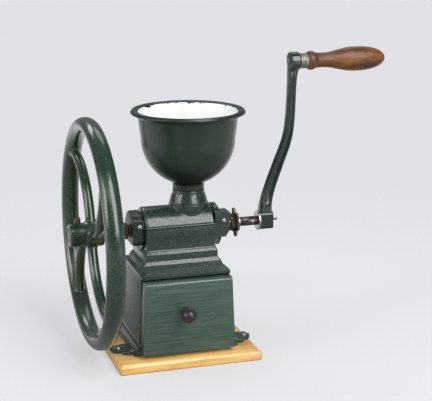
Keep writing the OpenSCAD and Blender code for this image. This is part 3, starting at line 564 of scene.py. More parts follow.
class Form:
    """A mesh in the making: vertices in millimetres and faces."""

    def __init__(self) -> None:
        """Starts with nothing."""
        self.points: list[Vector] = []
        self.faces: list[tuple[int, ...]] = []
        self.kinds: list[int] = []

    def add(self, points: Iterable[Sequence[float]], faces: Iterable[Sequence[int]], kind: int = 0) -> "Form":
        """Adds vertices and faces, whose numbers count from the first new vertex."""
        base = len(self.points)
        self.points += [Vector(p) for p in points]
        for face in faces:
            self.faces.append(tuple(base + i for i in face))
            self.kinds.append(kind)
        return self

    def loft(self, rings: Sequence[Sequence[Sequence[float]]], kind: int = 0) -> "Form":
        """Adds a closed skin over rings of equal length, with a flat cap at each end."""
        count = len(rings[0])
        points = [p for ring in rings for p in ring]
        faces: list[tuple[int, ...]] = []
        for r in range(len(rings) - 1):
            for k in range(count):
                j = (k + 1) % count
                faces.append((r * count + k, r * count + j, (r + 1) * count + j, (r + 1) * count + k))
        faces.append(tuple(reversed(range(count))))
        faces.append(tuple((len(rings) - 1) * count + k for k in range(count)))
        return self.add(points, faces, kind)

    def lathe(self, profile: Profile, steps: int = 96, place: Matrix | None = None,
              kinds: Sequence[int] | None = None) -> "Form":
        """Adds a turned solid.

        Args:
            profile: Heights and radii along the turning axis, which is local Z.
            steps: Faces round the axis.
            place: Where the solid goes.
            kinds: The material number of each band between two profile points.

        Returns:
            The form itself.
        """
        place = place or Matrix.Identity(4)
        starts: list[int] = []
        points: list[Vector] = []
        for height, radius in profile:
            starts.append(len(points))
            if radius < 1e-6:
                points.append(place @ Vector((0.0, 0.0, height)))
                continue
            for k in range(steps):
                a = 2 * math.pi * k / steps
                points.append(place @ Vector((radius * math.cos(a), radius * math.sin(a), height)))
        base = len(self.points)
        self.points += points
        sizes = [1 if radius < 1e-6 else steps for _, radius in profile]
        closed = sizes[0] > 1 and sizes[-1] > 1 and profile[0] != profile[-1]
        pairs = [(i, i + 1) for i in range(len(profile) - 1)] + ([(len(profile) - 1, 0)] if closed else [])
        for band, (i, j) in enumerate(pairs):
            kind = kinds[min(band, len(kinds) - 1)] if kinds else 0
            for k in range(steps):
                n = (k + 1) % steps
                a0, a1 = (starts[i] + k, starts[i] + n) if sizes[i] > 1 else (starts[i], starts[i])
                b0, b1 = (starts[j] + k, starts[j] + n) if sizes[j] > 1 else (starts[j], starts[j])
                corners = list(dict.fromkeys((a0, a1, b1, b0)))
                if len(corners) > 2:
                    self.faces.append(tuple(base + c for c in corners))
                    self.kinds.append(kind)
        return self

    def block(self, low: Point, high: Point) -> "Form":
        """Adds a plain block, used as a cutter or before its edges are rounded."""
        x0, y0, z0 = low
        x1, y1, z1 = high
        return self.loft([[(x0, y0, z), (x1, y0, z), (x1, y1, z), (x0, y1, z)] for z in (z0, z1)])

    def prism(self, outline: Sequence[tuple[float, float]], start: float, end: float,
              place: Callable[[float, float, float], Point]) -> "Form":
        """Adds a prism over a flat outline, whose corners place turns into points."""
        return self.loft([[place(u, v, w) for u, v in outline] for w in (start, end)])

    def mesh(self, name: str) -> bpy.types.Mesh:
        """Makes the Blender mesh, in metres, with doubles merged and faces outwards."""
        mesh = bpy.data.meshes.new(name)
        mesh.from_pydata([tuple(p * MM) for p in self.points], [], self.faces)
        mesh.polygons.foreach_set("material_index", self.kinds)
        work = bmesh.new()
        work.from_mesh(mesh)
        bmesh.ops.remove_doubles(work, verts=work.verts, dist=0.002 * MM)
        bmesh.ops.recalc_face_normals(work, faces=work.faces)
        work.to_mesh(mesh)
        work.free()
        return mesh


def x_axis(height: float, depth: float = 0.0) -> Matrix:
    """Turns a lathe's axis along X at the given height and depth."""
    return Matrix.Translation((0.0, depth, height)) @ Matrix.Rotation(math.radians(90), 4, "Y")


def front_axis(x: float, y: float, z: float) -> Matrix:
    """Turns a lathe's axis towards the viewer of the drawer, starting at the given point."""
    return Matrix.Translation((x, y, z)) @ Matrix.Rotation(math.radians(90), 4, "X")


def linked(name: str, mesh: bpy.types.Mesh) -> bpy.types.Object:
    """Puts a mesh into the scene."""
    item = bpy.data.objects.new(name, mesh)
    bpy.context.scene.collection.objects.link(item)
    return item


def settled(item: bpy.types.Object) -> bpy.types.Object:
    """Turns an object's modifiers into plain geometry."""
    graph = bpy.context.evaluated_depsgraph_get()
    fresh = bpy.data.meshes.new_from_object(item.evaluated_get(graph), preserve_all_data_layers=True, depsgraph=graph)
    item.modifiers.clear()
    old = item.data
    item.data = fresh
    bpy.data.meshes.remove(old)
    return item


def rounded(item: bpy.types.Object, width: float, segments: int = 3, angle: float = 32.0) -> bpy.types.Object:
    """Rounds an object's sharp edges by width in millimetres."""
    bevel = item.modifiers.new("edges", "BEVEL")
    bevel.width = width * MM
    bevel.segments = segments
    bevel.limit_method = "ANGLE"
    bevel.angle_limit = math.radians(angle)
    return settled(item)


def combined(item: bpy.types.Object, forms: Sequence[Form], operation: str) -> bpy.types.Object:
    """Applies a boolean operation with each form in turn."""
    for number, form in enumerate(forms):
        tool = linked(f"tool_{number}", form.mesh("tool"))
        step = item.modifiers.new("step", "BOOLEAN")
        step.operation = operation
        step.solver = "EXACT"
        step.object = tool
        settled(item)
        bpy.data.objects.remove(tool)
    return item


def carved(item: bpy.types.Object, cutters: Sequence[Form]) -> bpy.types.Object:
    """Cuts hollows out of an object."""
    return combined(item, cutters, "DIFFERENCE")


def cast(item: bpy.types.Object, grain: float, rounds: int) -> bpy.types.Object:
    """Melts overlapping solids into one casting.

    Args:
        item: The object with the solids.
        grain: Size of the new faces in millimetres.
        rounds: How often the surface is smoothed.

    Returns:
        The same object.
    """
    melt = item.modifiers.new("melt", "REMESH")
    melt.mode = "VOXEL"
    melt.voxel_size = grain * MM
    ease = item.modifiers.new("ease", "SMOOTH")
    ease.factor = 0.5
    ease.iterations = rounds
    return settled(item)


def record_edges(mesh: bpy.types.Mesh) -> None:
    """Stores on each vertex how sharply the surface bends outwards there, for the wear of the finishes."""
    work = bmesh.new()
    work.from_mesh(mesh)
    total = [0.0] * len(work.verts)
    for edge in work.edges:
        if len(edge.link_faces) != 2:
            continue
        first, second = edge.link_faces
        span = (first.calc_center_median() - second.calc_center_median()).length / MM
        bend = edge.calc_face_angle_signed(0.0) / max(span, 0.35)
        for vertex in edge.verts:
            total[vertex.index] = max(total[vertex.index], bend)
    work.free()
    layer = mesh.attributes.new("worn", "FLOAT", "POINT")
    layer.data.foreach_set("value", [min(1.0, max(0.0, (value - 0.25) / 0.6)) for value in total])


class Workshop:
    """Dresses the frame: finishes a shape and ties it to its body."""

    def __init__(self, frame: dict, finishes: Finishes) -> None:
        """Keeps the loaded frame and the finishes."""
        self.frame = frame
        self.finishes = finishes

    def piece(self, item: bpy.types.Object, finish: Union[bpy.types.Material, Sequence[bpy.types.Material]],
              body: Body, nodes: Sequence[str] = (), crease: float = 35.0) -> bpy.types.Object:
        """Finishes one piece.

        Args:
            item: The object, with its place in its mesh.
            finish: Its material or materials.
            body: The body that it rides on.
            nodes: The CAD nodes that it stands for.
            crease: The angle above which an edge stays sharp.

        Returns:
            The finished piece.
        """
        finishes = finish if isinstance(finish, (list, tuple)) else [finish]
        if item.data.materials:
            item.data.materials.clear()
        for material in finishes:
            item.data.materials.append(material)
        record_edges(item.data)
        item.data.shade_smooth()
        item.data.set_sharp_from_angle(angle=math.radians(crease))
        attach(item, body.value)
        if nodes:
            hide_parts(*nodes)
        LOG.info("%s on %s: %d faces", item.name, body.value, len(item.data.polygons))
        return item

    def dressed_node(self, node: str, name: str, width: float, segments: int = 3) -> bpy.types.Object:
        """A copy of a CAD node with its flat faces joined and its edges rounded.

        Args:
            node: The CAD node.
            name: The copy's name.
            width: How far the edges are rounded, in millimetres.
            segments: Steps of the rounding.

        Returns:
            The copy.
        """
        mesh = self.frame["nodes"][node].data.copy()
        mesh.name = name
        work = bmesh.new()
        work.from_mesh(mesh)
        bmesh.ops.remove_doubles(work, verts=work.verts, dist=0.01 * MM)
        bmesh.ops.dissolve_limit(work, angle_limit=math.radians(1.0), verts=work.verts, edges=work.edges)
        for face in work.faces:
            face.material_index = 0
        work.to_mesh(mesh)
        work.free()
        return rounded(linked(name, mesh), width, segments)

    def paint_node(self, node: str, finish: bpy.types.Material) -> None:
        """Gives a CAD node that stays in place a better finish."""
        for holder in self.frame["nodes"][node].material_slots:
            holder.material = finish


# Geometry nodes


class Recipe:
    """A geometry node tree with named inputs."""

    KINDS = {"length": "NodeSocketFloat", "count": "NodeSocketInt", "finish": "NodeSocketMaterial",
             "turn": "NodeSocketVector"}

    def __init__(self, name: str, inputs: dict[str, str]) -> None:
        """Starts a tree.

        Args:
            name: The tree's name.
            inputs: The kind of each named input.
        """
        self.tree = bpy.data.node_groups.new(name, "GeometryNodeTree")
        self.tree.interface.new_socket("Geometry", in_out="INPUT", socket_type="NodeSocketGeometry")
        self.keys: dict[str, str] = {}
        for label, kind in inputs.items():
            socket = self.tree.interface.new_socket(label, in_out="INPUT", socket_type=self.KINDS[kind])
            self.keys[label] = socket.identifier
        self.tree.interface.new_socket("Geometry", in_out="OUTPUT", socket_type="NodeSocketGeometry")
        self.given = self.tree.nodes.new("NodeGroupInput").outputs

    def node(self, kind: str, inputs: dict | None = None, settings: dict | None = None) -> bpy.types.Node:
        """Adds one node, with its settings before its inputs."""
        node = self.tree.nodes.new(kind)
        for key, value in (settings or {}).items():
            setattr(node, key, value)
        for key, value in (inputs or {}).items():
            socket = node.inputs[key]
            for source in value if isinstance(value, list) else [value]:
                if isinstance(source, bpy.types.NodeSocket):
                    self.tree.links.new(source, socket)
                else:
                    socket.default_value = source
        return node

    def out(self, kind: str, inputs: dict | None = None, settings: dict | None = None,
            output: Union[int, str] = 0) -> bpy.types.NodeSocket:
        """Adds one node and gives its output."""
        return self.node(kind, inputs, settings).outputs[output]

    def calc(self, operation: str, *values: Union[float, bpy.types.NodeSocket]) -> bpy.types.NodeSocket:
        """Adds one Math node."""
        return self.out("ShaderNodeMath", dict(enumerate(values)), {"operation": operation})

    def vector(self, x: Union[float, bpy.types.NodeSocket], y: Union[float, bpy.types.NodeSocket],
               z: Union[float, bpy.types.NodeSocket]) -> bpy.types.NodeSocket:
        """Joins three values into a vector."""
        return self.out("ShaderNodeCombineXYZ", {0: x, 1: y, 2: z})

    def close(self, geometry: bpy.types.NodeSocket, finish: str = "Finish") -> None:
        """Ends the tree in Realize Instances and Set Material."""
        real = self.out("GeometryNodeRealizeInstances", {0: geometry})
        dressed = self.out("GeometryNodeSetMaterial", {"Geometry": real, "Material": self.given[finish]})
        end = self.tree.nodes.new("NodeGroupOutput")
        self.tree.links.new(dressed, end.inputs[0])

    def make(self, name: str, base: bpy.types.Mesh, values: dict) -> bpy.types.Object:
        """Runs the tree on a mesh.

        Args:
            name: The new object's name.
            base: The mesh that the tree reads.
            values: The tree's inputs by name.

        Returns:
            A plain mesh object.
        """
        item = linked(name, base)
        modifier = item.modifiers.new("recipe", "NODES")
        modifier.node_group = self.tree
        for label, value in values.items():
            modifier[self.keys[label]] = value
        return settled(item)


def screw_recipe() -> Recipe:
    """A slotted round screw head on each point, turned as asked, with its sizes in millimetres."""
    recipe = Recipe("screw heads", {"Radius": "length", "Height": "length", "Slot": "length", "Turn": "turn",
                                    "Finish": "finish"})
    given = recipe.given
    ball = recipe.out("GeometryNodeMeshUVSphere", {"Segments": 32, "Rings": 16, "Radius": given["Radius"]})
    flat = recipe.calc("DIVIDE", given["Height"], given["Radius"])
    head = recipe.out("GeometryNodeTransform", {"Geometry": ball, "Scale": recipe.vector(1.0, 1.0, flat)})
    width = recipe.calc("MULTIPLY", given["Radius"], 3.0)
    deep = recipe.calc("MULTIPLY", given["Height"], 0.9)
    bar = recipe.out("GeometryNodeMeshCube", {"Size": recipe.vector(width, given["Slot"], deep)})
    bar = recipe.out("GeometryNodeTransform", {"Geometry": bar,
                                               "Translation": recipe.vector(0.0, 0.0, given["Height"])})
    slotted = recipe.out("GeometryNodeMeshBoolean", {"Mesh 1": head, "Mesh 2": bar}, {"operation": "DIFFERENCE"})
    small = recipe.out("GeometryNodeTransform", {"Geometry": slotted, "Scale": (MM, MM, MM)})
    heads = recipe.out("GeometryNodeInstanceOnPoints", {"Points": given["Geometry"], "Instance": small,
                                                        "Rotation": given["Turn"]})
    recipe.close(heads)
    return recipe


def wheel_recipe() -> Recipe:
    """A rim and curved spokes that widen towards the hub and the rim, flat in the local XY plane."""
    recipe = Recipe("spoked wheel", {
        "Rim radius": "length", "Rim half width": "length", "Rim half thickness": "length", "Arc radius": "length",
        "Sweep": "length", "Spoke half width": "length", "Spoke half thickness": "length", "Spokes": "count",
        "Turn": "length", "Finish": "finish"})
    given = recipe.given

    def oval(across: bpy.types.NodeSocket, along: bpy.types.NodeSocket, steps: int) -> bpy.types.NodeSocket:
        """A flat oval, across in the wheel's plane and along its axle."""
        ring = recipe.out("GeometryNodeCurvePrimitiveCircle", {"Resolution": steps, "Radius": 1.0})
        return recipe.out("GeometryNodeTransform", {"Geometry": ring, "Scale": recipe.vector(across, along, 1.0)})

    def swept(path: bpy.types.NodeSocket, section: bpy.types.NodeSocket) -> bpy.types.NodeSocket:
        """A section swept along a flat path."""
        upright = recipe.out("GeometryNodeSetCurveNormal", {"Curve": path}, {"mode": "Z_UP"})
        return recipe.out("GeometryNodeCurveToMesh", {"Curve": upright, "Profile Curve": section, "Fill Caps": True})

    hoop = recipe.out("GeometryNodeCurvePrimitiveCircle", {"Resolution": 192, "Radius": given["Rim radius"]})
    rim = swept(hoop, oval(given["Rim half thickness"], given["Rim half width"], 40))
    bow = recipe.out("GeometryNodeCurveArc", {"Resolution": 64, "Radius": given["Arc radius"],
                                              "Start Angle": math.radians(-90), "Sweep Angle": given["Sweep"]})
    bow = recipe.out("GeometryNodeTransform", {"Geometry": bow,
                                               "Translation": recipe.vector(0.0, given["Arc radius"], 0.0)})
    way = recipe.out("GeometryNodeSplineParameter")
    outer = recipe.calc("MAXIMUM", recipe.calc("MULTIPLY_ADD", way, 7.5, -6.3), 0.0)
    inner = recipe.calc("MAXIMUM", recipe.calc("MULTIPLY_ADD", way, -7.0, 1.85), 0.0)
    swell = recipe.calc("ADD", recipe.calc("POWER", outer, 2.0), recipe.calc("POWER", inner, 2.0))
    radius = recipe.calc("MULTIPLY_ADD", recipe.calc("MINIMUM", swell, 1.0), 0.55, 1.0)
    bow = recipe.out("GeometryNodeSetCurveRadius", {"Curve": bow, "Radius": radius})
    spoke = swept(bow, oval(given["Spoke half width"], given["Spoke half thickness"], 24))
    spots = recipe.out("GeometryNodePoints", {"Count": given["Spokes"]})
    index = recipe.out("GeometryNodeInputIndex")
    share = recipe.calc("DIVIDE", index, given["Spokes"])
    turn = recipe.calc("MULTIPLY_ADD", share, 2 * math.pi, given["Turn"])
    spokes = recipe.out("GeometryNodeInstanceOnPoints", {"Points": spots, "Instance": spoke,
                                                         "Rotation": recipe.vector(0.0, 0.0, turn)})
    recipe.close(recipe.out("GeometryNodeJoinGeometry", {0: [rim, spokes]}))
    return recipe


def thread_recipe() -> Recipe:
    """A raised thread that winds along local Z."""
    recipe = Recipe("thread", {"Radius": "length", "Length": "length", "Turns": "length", "Ridge": "length",
                               "Finish": "finish"})
    given = recipe.given
    path = recipe.out("GeometryNodeCurveSpiral", {"Resolution": 40, "Rotations": given["Turns"],
                                                  "Start Radius": given["Radius"], "End Radius": given["Radius"],
                                                  "Height": given["Length"]})
    ridge = recipe.out("GeometryNodeCurvePrimitiveCircle", {"Resolution": 6, "Radius": given["Ridge"]})
    recipe.close(recipe.out("GeometryNodeCurveToMesh", {"Curve": path, "Profile Curve": ridge, "Fill Caps": True}))
    return recipe


# The mill's sub-assemblies


@dataclass
class Casing:
    """Board, both castings, bearing blocks and their screws."""

    axis: float = 157.3
    floor: float = 12.0
    eave: float = 112.0
    front: float = -45.0
    back: float = 49.0
    neck_x: float = -1.5
    neck_w: float = 86.0
    neck_d: float = 60.0
    joint: float = 164.6
    band: float = 153.3
    flange: float = 2.4
    cover_r: float = 28.0
    bowl_x: float = 16.1
    collar_h: float = 47.7
    skirt: tuple[tuple[float, float], ...] = ((12.0, 7.4), (12.3, 7.8), (14.4, 7.8), (15.0, 7.2), (15.4, 6.2),
                                              (21.4, 2.9), (21.9, 3.3), (23.1, 3.1), (23.7, 1.9), (24.3, 1.3),
                                              (26.0, 0.4), (27.0, 0.0))
    shoulder: tuple[tuple[float, float], ...] = ((0.0, 1.0), (1.8, 0.98), (3.0, 0.85), (6.0, 0.42), (8.0, 0.36),
                                                 (13.4, 0.34), (14.6, 0.32), (17.6, 0.03), (18.6, 0.0))

    def wall(self, z: float) -> float:
        """Half width of the box's side walls at height z."""
        return 54.5 + 3.0 * ((z - 88.0) / 61.0) ** 2

    def board(self, shop: Workshop) -> None:
        """The bevelled board under the mill."""
        half_x, half_y = 88.5, 70.5
        rings = []
        for z, back in ((0.0, 0.8), (0.5, 0.2), (1.2, 0.0), (8.6, 0.0), (9.1, 0.2), (11.6, 2.6), (12.0, 3.3)):
            outline = rounded_box(-half_x + back, half_x - back, -half_y + back, half_y - back, 2.6, 6)
            rings.append([(x, y, z) for x, y in outline])
        item = linked("board", Form().loft(rings).mesh("board"))
        shop.piece(item, shop.finishes.board, Body.MILL, ["base_board"], 50.0)

    def casting_rings(self) -> list[list[Point]]:
        """Level outlines of the lower casting from its foot to the joint."""
        foot = self.wall(27.0)
        levels: list[tuple[float, float, float, float, float, float]] = []
        for z, out in self.skirt:
            levels.append((z, foot + out, self.front, self.back + out, 1.4, 0.0))
        for k in range(1, 13):
            z = 27.0 + 80.4 * k / 12
            levels.append((z, self.wall(z), self.front, self.back, 2.0, 0.0))
        levels += [(108.0, self.wall(108.0), self.front - 4.0, self.back, 1.6, 0.0),
                   (112.0, self.wall(112.0), self.front - 4.0, self.back, 1.6, self.neck_x * 0.5),
                   (116.5, 50.1, -35.3, 35.3, 1.6, self.neck_x), (118.5, 50.1, -35.3, 35.3, 1.6, self.neck_x)]
        for up, swing in smooth_line(self.shoulder, 4):
            levels.append((118.5 + up, 43.6 + 5.5 * swing, -30.6 - 3.5 * swing, 30.6 + 3.5 * swing, 1.6, self.neck_x))
        levels += [(137.9, 43.0, -30.0, 30.0, 1.6, self.neck_x), (self.band, 43.0, -30.0, 30.0, 1.6, self.neck_x),
                   (self.band + 0.2, 43.0, -31.0, 31.0, 1.6, self.neck_x),
                   (self.joint - 0.25, 43.0, -31.0, 31.0, 1.6, self.neck_x)]
        return [[(x + shift, y, z) for x, y in rounded_box(-half, half, y0, y1, radius)]
                for z, half, y0, y1, radius, shift in levels]

    def chamber(self) -> list[Form]:
        """The grinding chamber's bore and the hole for the sleeve in its end wall."""
        x0, x1 = self.neck_x - self.neck_w / 2, self.neck_x + self.neck_w / 2
        along = x_axis(self.axis)
        return [Form().lathe([(x0 - 1.0, 0.0), (x0 - 1.0, 22.0), (x1 - 5.5, 22.0), (x1 - 5.5, 0.0)], 64, along),
                Form().lathe([(x1 - 7.0, 0.0), (x1 - 7.0, 6.8), (x1 + 1.0, 6.8), (x1 + 1.0, 0.0)], 48, along)]

    def lower_casting(self, shop: Workshop) -> None:
        """The box with its shelf, shoulder, neck and foot lugs."""
        item = linked("lower_casting", Form().loft(self.casting_rings()).mesh("lower_casting"))
        carved(item, [
            Form().block((-50.0, -60.0, 11.0), (50.0, 44.5, 106.0)),
            Form().block((-40.5, -15.0, 104.0), (-24.5, 15.0, 150.0))] + self.chamber())
        rounded(item, 0.5, 3, 33.0)
        shop.piece(item, shop.finishes.box, Body.MILL, ["mill_body"])
        for number, place in enumerate(self.lug_places()):
            lug = linked(f"foot_lug_{number + 1}", self.lug_form(place).mesh("foot_lug"))
            cast(lug, 0.75, 3)
            shop.piece(lug, shop.finishes.cast, Body.MILL)

    def lug_places(self) -> list[Matrix]:
        """Where the foot lugs' screws stand, with local X pointing away from the box."""
        return [Matrix.Translation((80.5, -22.0, self.floor)),
                Matrix.Translation((-80.5, -22.0, self.floor)) @ Matrix.Scale(-1.0, 4, (1.0, 0.0, 0.0)),
                Matrix.Translation((0.0, 60.0, self.floor)) @ Matrix.Rotation(math.radians(90), 4, "Z")]

    def lug_form(self, place: Matrix) -> Form:
        """One foot lug: a scrolled plate round the screw."""
        form = Form()

        def disc(x: float, y: float, radius: float, height: float) -> None:
            """Adds a low round boss."""
            form.lathe([(0.05, 0.0), (0.05, radius), (height - 0.8, radius), (height, radius - 1.0), (height, 0.0)],
                       32, place @ Matrix.Translation((x, y, 0.0)))

        disc(0.0, 0.0, 7.5, 5.2)
        disc(-9.0, -10.0, 5.5, 5.0)
        disc(-8.5, 9.0, 5.5, 5.0)
        disc(3.5, 11.0, 3.2, 4.4)
        disc(6.3, 5.0, 3.0, 4.4)
        disc(-2.0, 9.5, 4.0, 4.6)
        outline = [(-20.0, -16.0), (-6.0, -13.0), (2.0, -6.0), (2.0, 6.0), (-6.0, 12.0), (-20.0, 14.0)]
        rib = [(-19.0, -14.5), (-6.0, -12.0), (-3.0, -6.0), (-19.0, -9.5)]
        for points, top in ((outline, 4.5), (rib, 6.0)):
            form.loft([[place @ Vector((x, y, z)) for x, y in points] for z in (0.05, top)])
        return form

    def cover(self, shop: Workshop) -> None:
        """The half-round housing over the chamber, with its flange and the bowl's collar."""
        x0, x1 = self.neck_x - self.neck_w / 2, self.neck_x + self.neck_w / 2
        r = self.cover_r
        barrel = [(x0 + 0.4, 0.0), (x0 + 0.4, r - 2.5), (x0 + 1.3, r - 0.8), (x0 + 2.9, r), (x1 - 1.2, r),
                  (x1 - 0.4, r - 0.8), (x1 - 0.4, 0.0)]
        form = Form().lathe(barrel, 160, x_axis(self.axis))
        top = self.axis + self.collar_h
        collar = [(self.axis + 12.0, 0.0), (self.axis + 12.0, 21.3), (self.axis + 15.3, 21.7), (top - 19.7, 23.5),
                  (top - 16.4, 23.4)]
        collar += smooth_line([(top - 14.5, 23.1), (top - 9.0, 21.5), (top - 4.5, 19.9), (top - 0.3, 19.3)], 5)
        collar += [(top - 0.3, 0.0)]
        form.lathe(collar, 128, Matrix.Translation((self.bowl_x, 0.0, 0.0)))
        item = cast(linked("housing_cover_shell", form.mesh("cover")), 0.7, 2)
        throat = Form().lathe([(self.axis, 0.0), (self.axis, 16.5), (top + 1.0, 16.5), (top + 1.0, 0.0)], 64,
                              Matrix.Translation((self.bowl_x, 0.0, 0.0)))
        carved(item, [Form().block((-80.0, -60.0, 100.0), (80.0, 60.0, self.joint + 0.5)), throat] + self.chamber())
        shop.piece(item, shop.finishes.cast, Body.MILL, ["housing_cover"])
        bead = [(top - 18.3, 23.0), (top - 18.0, 24.0), (top - 17.5, 24.2), (top - 17.0, 24.0), (top - 16.7, 23.0)]
        ring = linked("collar_bead", Form().lathe(bead, 128, Matrix.Translation((self.bowl_x, 0.0, 0.0))).mesh("bead"))
        shop.piece(ring, shop.finishes.cast, Body.MILL)
        z0, z1 = self.joint + 0.35, self.joint + self.flange
        plate = Form()
        rings = []
        for z, inset in ((z0, 0.4), (z0 + 0.3, 0.0), (z1 - 1.2, 0.0), (z1 - 0.7, 0.2), (z1 - 0.3, 0.6), (z1, 1.2)):
            outline = rounded_box(x0 + inset, x1 - inset, -31.0 + inset, 31.0 - inset, 1.6)
            rings.append([(x, y, z) for x, y in outline])
        plate.loft(rings)
        item = carved(linked("cover_flange", plate.mesh("flange")), self.chamber())
        shop.piece(item, shop.finishes.cast, Body.MILL)

    def left_block(self, shop: Workshop) -> None:
        """The bearing block on the wheel's side, with its pad and its bush."""
        form = Form().lathe([(-59.0, 0.0), (-59.0, 21.5), (-58.2, 23.6), (-57.0, 24.5), (-47.4, 24.5),
                             (-46.5, 23.6), (-46.5, 0.0)], 96, x_axis(self.axis))
        item = linked("left_bearing_block", form.mesh("left_block"))
        combined(item, [Form().block((-59.0, -22.5, self.axis - 8.0), (-46.5, -2.0, self.axis + 15.2)),
                        Form().lathe([(-47.5, 0.0), (-47.5, 21.9), (-43.6, 21.9), (-43.6, 0.0)], 96,
                                     x_axis(self.axis))], "UNION")
        carved(item, [Form().block((-60.0, -60.0, 100.0), (-46.5, -22.5, 200.0)),
                      Form().block((-60.0, -60.0, 100.0), (-46.5, 60.0, self.axis - 14.0)),
                      Form().lathe([(-60.0, 0.0), (-60.0, 7.6), (-40.0, 7.6), (-40.0, 0.0)], 48, x_axis(self.axis))])
        rounded(item, 0.6, 3, 30.0)
        # The block takes the painted-shade copy of the cast paint.
        shop.piece(item, shop.finishes.shaded_cast, Body.MILL, ["left_bearing"])
        bush = Form().lathe([(-59.8, 4.9), (-59.8, 7.5), (-59.4, 7.9), (-58.9, 7.9), (-58.9, 7.58), (-46.0, 7.58),
                             (-46.0, 4.9)], 48, x_axis(self.axis))
        shop.piece(linked("left_bush_ring", bush.mesh("bush")), shop.finishes.brass, Body.MILL,
                   ["left_bush"])

    def right_block(self, shop: Workshop) -> None:
        """The bearing block on the crank side, with its flange, pad and round nose."""
        form = Form().lathe([(43.5, 0.0), (43.5, 26.2), (44.3, 27.0), (49.6, 27.0), (51.0, 25.6), (51.0, 16.2),
                             (51.6, 16.0), (61.6, 16.0), (63.4, 14.4), (64.0, 12.6), (64.0, 0.0)], 96,
                            x_axis(self.axis))
        item = linked("right_bearing_block", form.mesh("right_block"))
        z0, z1 = self.axis - 11.0, self.axis + 19.5
        pad = [(43.5, z0), (57.0, z0), (62.0, z0 + 8.0), (62.0, z1), (43.5, z1)]
        combined(item, [Form().prism(pad, -22.5, -2.0, lambda u, v, w: (u, w, v)),
                        Form().lathe([(41.4, 0.0), (41.4, 12.0), (44.2, 12.0), (44.2, 0.0)], 64,
                                     x_axis(self.axis))], "UNION")
        carved(item, [Form().block((43.0, -60.0, 100.0), (66.0, -22.5, 200.0)),
                      Form().block((43.0, -60.0, 100.0), (51.0, 60.0, self.axis - 12.0)),
                      Form().lathe([(40.0, 0.0), (40.0, 6.4), (66.0, 6.4), (66.0, 0.0)], 48, x_axis(self.axis))])
        rounded(item, 0.6, 3, 30.0)
        shop.piece(item, shop.finishes.cast, Body.MILL, ["right_bearing"])

    def sleeve(self, shop: Workshop) -> None:
        """The fixed sleeve with the thread for the star nut."""
        r = 6.5
        form = Form().lathe([(36.0, 4.81), (36.0, r), (74.8, r), (75.2, r - 0.4), (75.2, 4.81)], 64, x_axis(self.axis))
        item = linked("adjusting_sleeve_core", form.mesh("sleeve"))
        shop.piece(item, shop.finishes.bright, Body.MILL, ["adjusting_sleeve"])
        thread = thread_recipe().make("sleeve_thread", bpy.data.meshes.new("thread"), {
            "Radius": 6.5 * MM, "Length": 9.5 * MM, "Turns": 5.0, "Ridge": 0.62 * MM,
            "Finish": shop.finishes.bright})
        thread.data.transform(Matrix.Translation((65.0 * MM, 0.0, self.axis * MM)) @ x_axis(0.0))
        shop.piece(thread, shop.finishes.bright, Body.MILL, crease=50.0)

    def screws(self, shop: Workshop) -> None:
        """Round slotted screws in the blocks and in the foot lugs."""
        recipe = screw_recipe()
        up = self.axis + 9.2
        fronts = bpy.data.meshes.new("front_spots")
        fronts.from_pydata([(x * MM, -22.4 * MM, up * MM) for x in (-50.75, 54.4)], [], [])
        item = recipe.make("block_screws", fronts, {
            "Radius": 3.3, "Height": 2.4, "Slot": 0.8, "Turn": (math.radians(90), 0.5, 0.0),
            "Finish": shop.finishes.steel})
        shop.piece(item, shop.finishes.steel, Body.MILL, ["clamp_screws"])
        feet = bpy.data.meshes.new("foot_spots")
        feet.from_pydata([tuple((place @ Vector((0.0, 0.0, 4.9))) * MM) for place in self.lug_places()], [], [])
        item = recipe.make("lug_screws", feet, {
            "Radius": 4.2, "Height": 2.6, "Slot": 1.0, "Turn": (0.0, 0.0, 0.6),
            "Finish": shop.finishes.steel})
        shop.piece(item, shop.finishes.steel, Body.MILL, ["foot_screws"])

    def build(self, shop: Workshop) -> None:
        """Makes every piece of the casing."""
        self.board(shop)
        self.lower_casting(shop)
        self.cover(shop)
        self.left_block(shop)
        self.right_block(shop)
        self.sleeve(shop)
        self.screws(shop)
        shop.paint_node("fixed_burr", shop.finishes.burr)


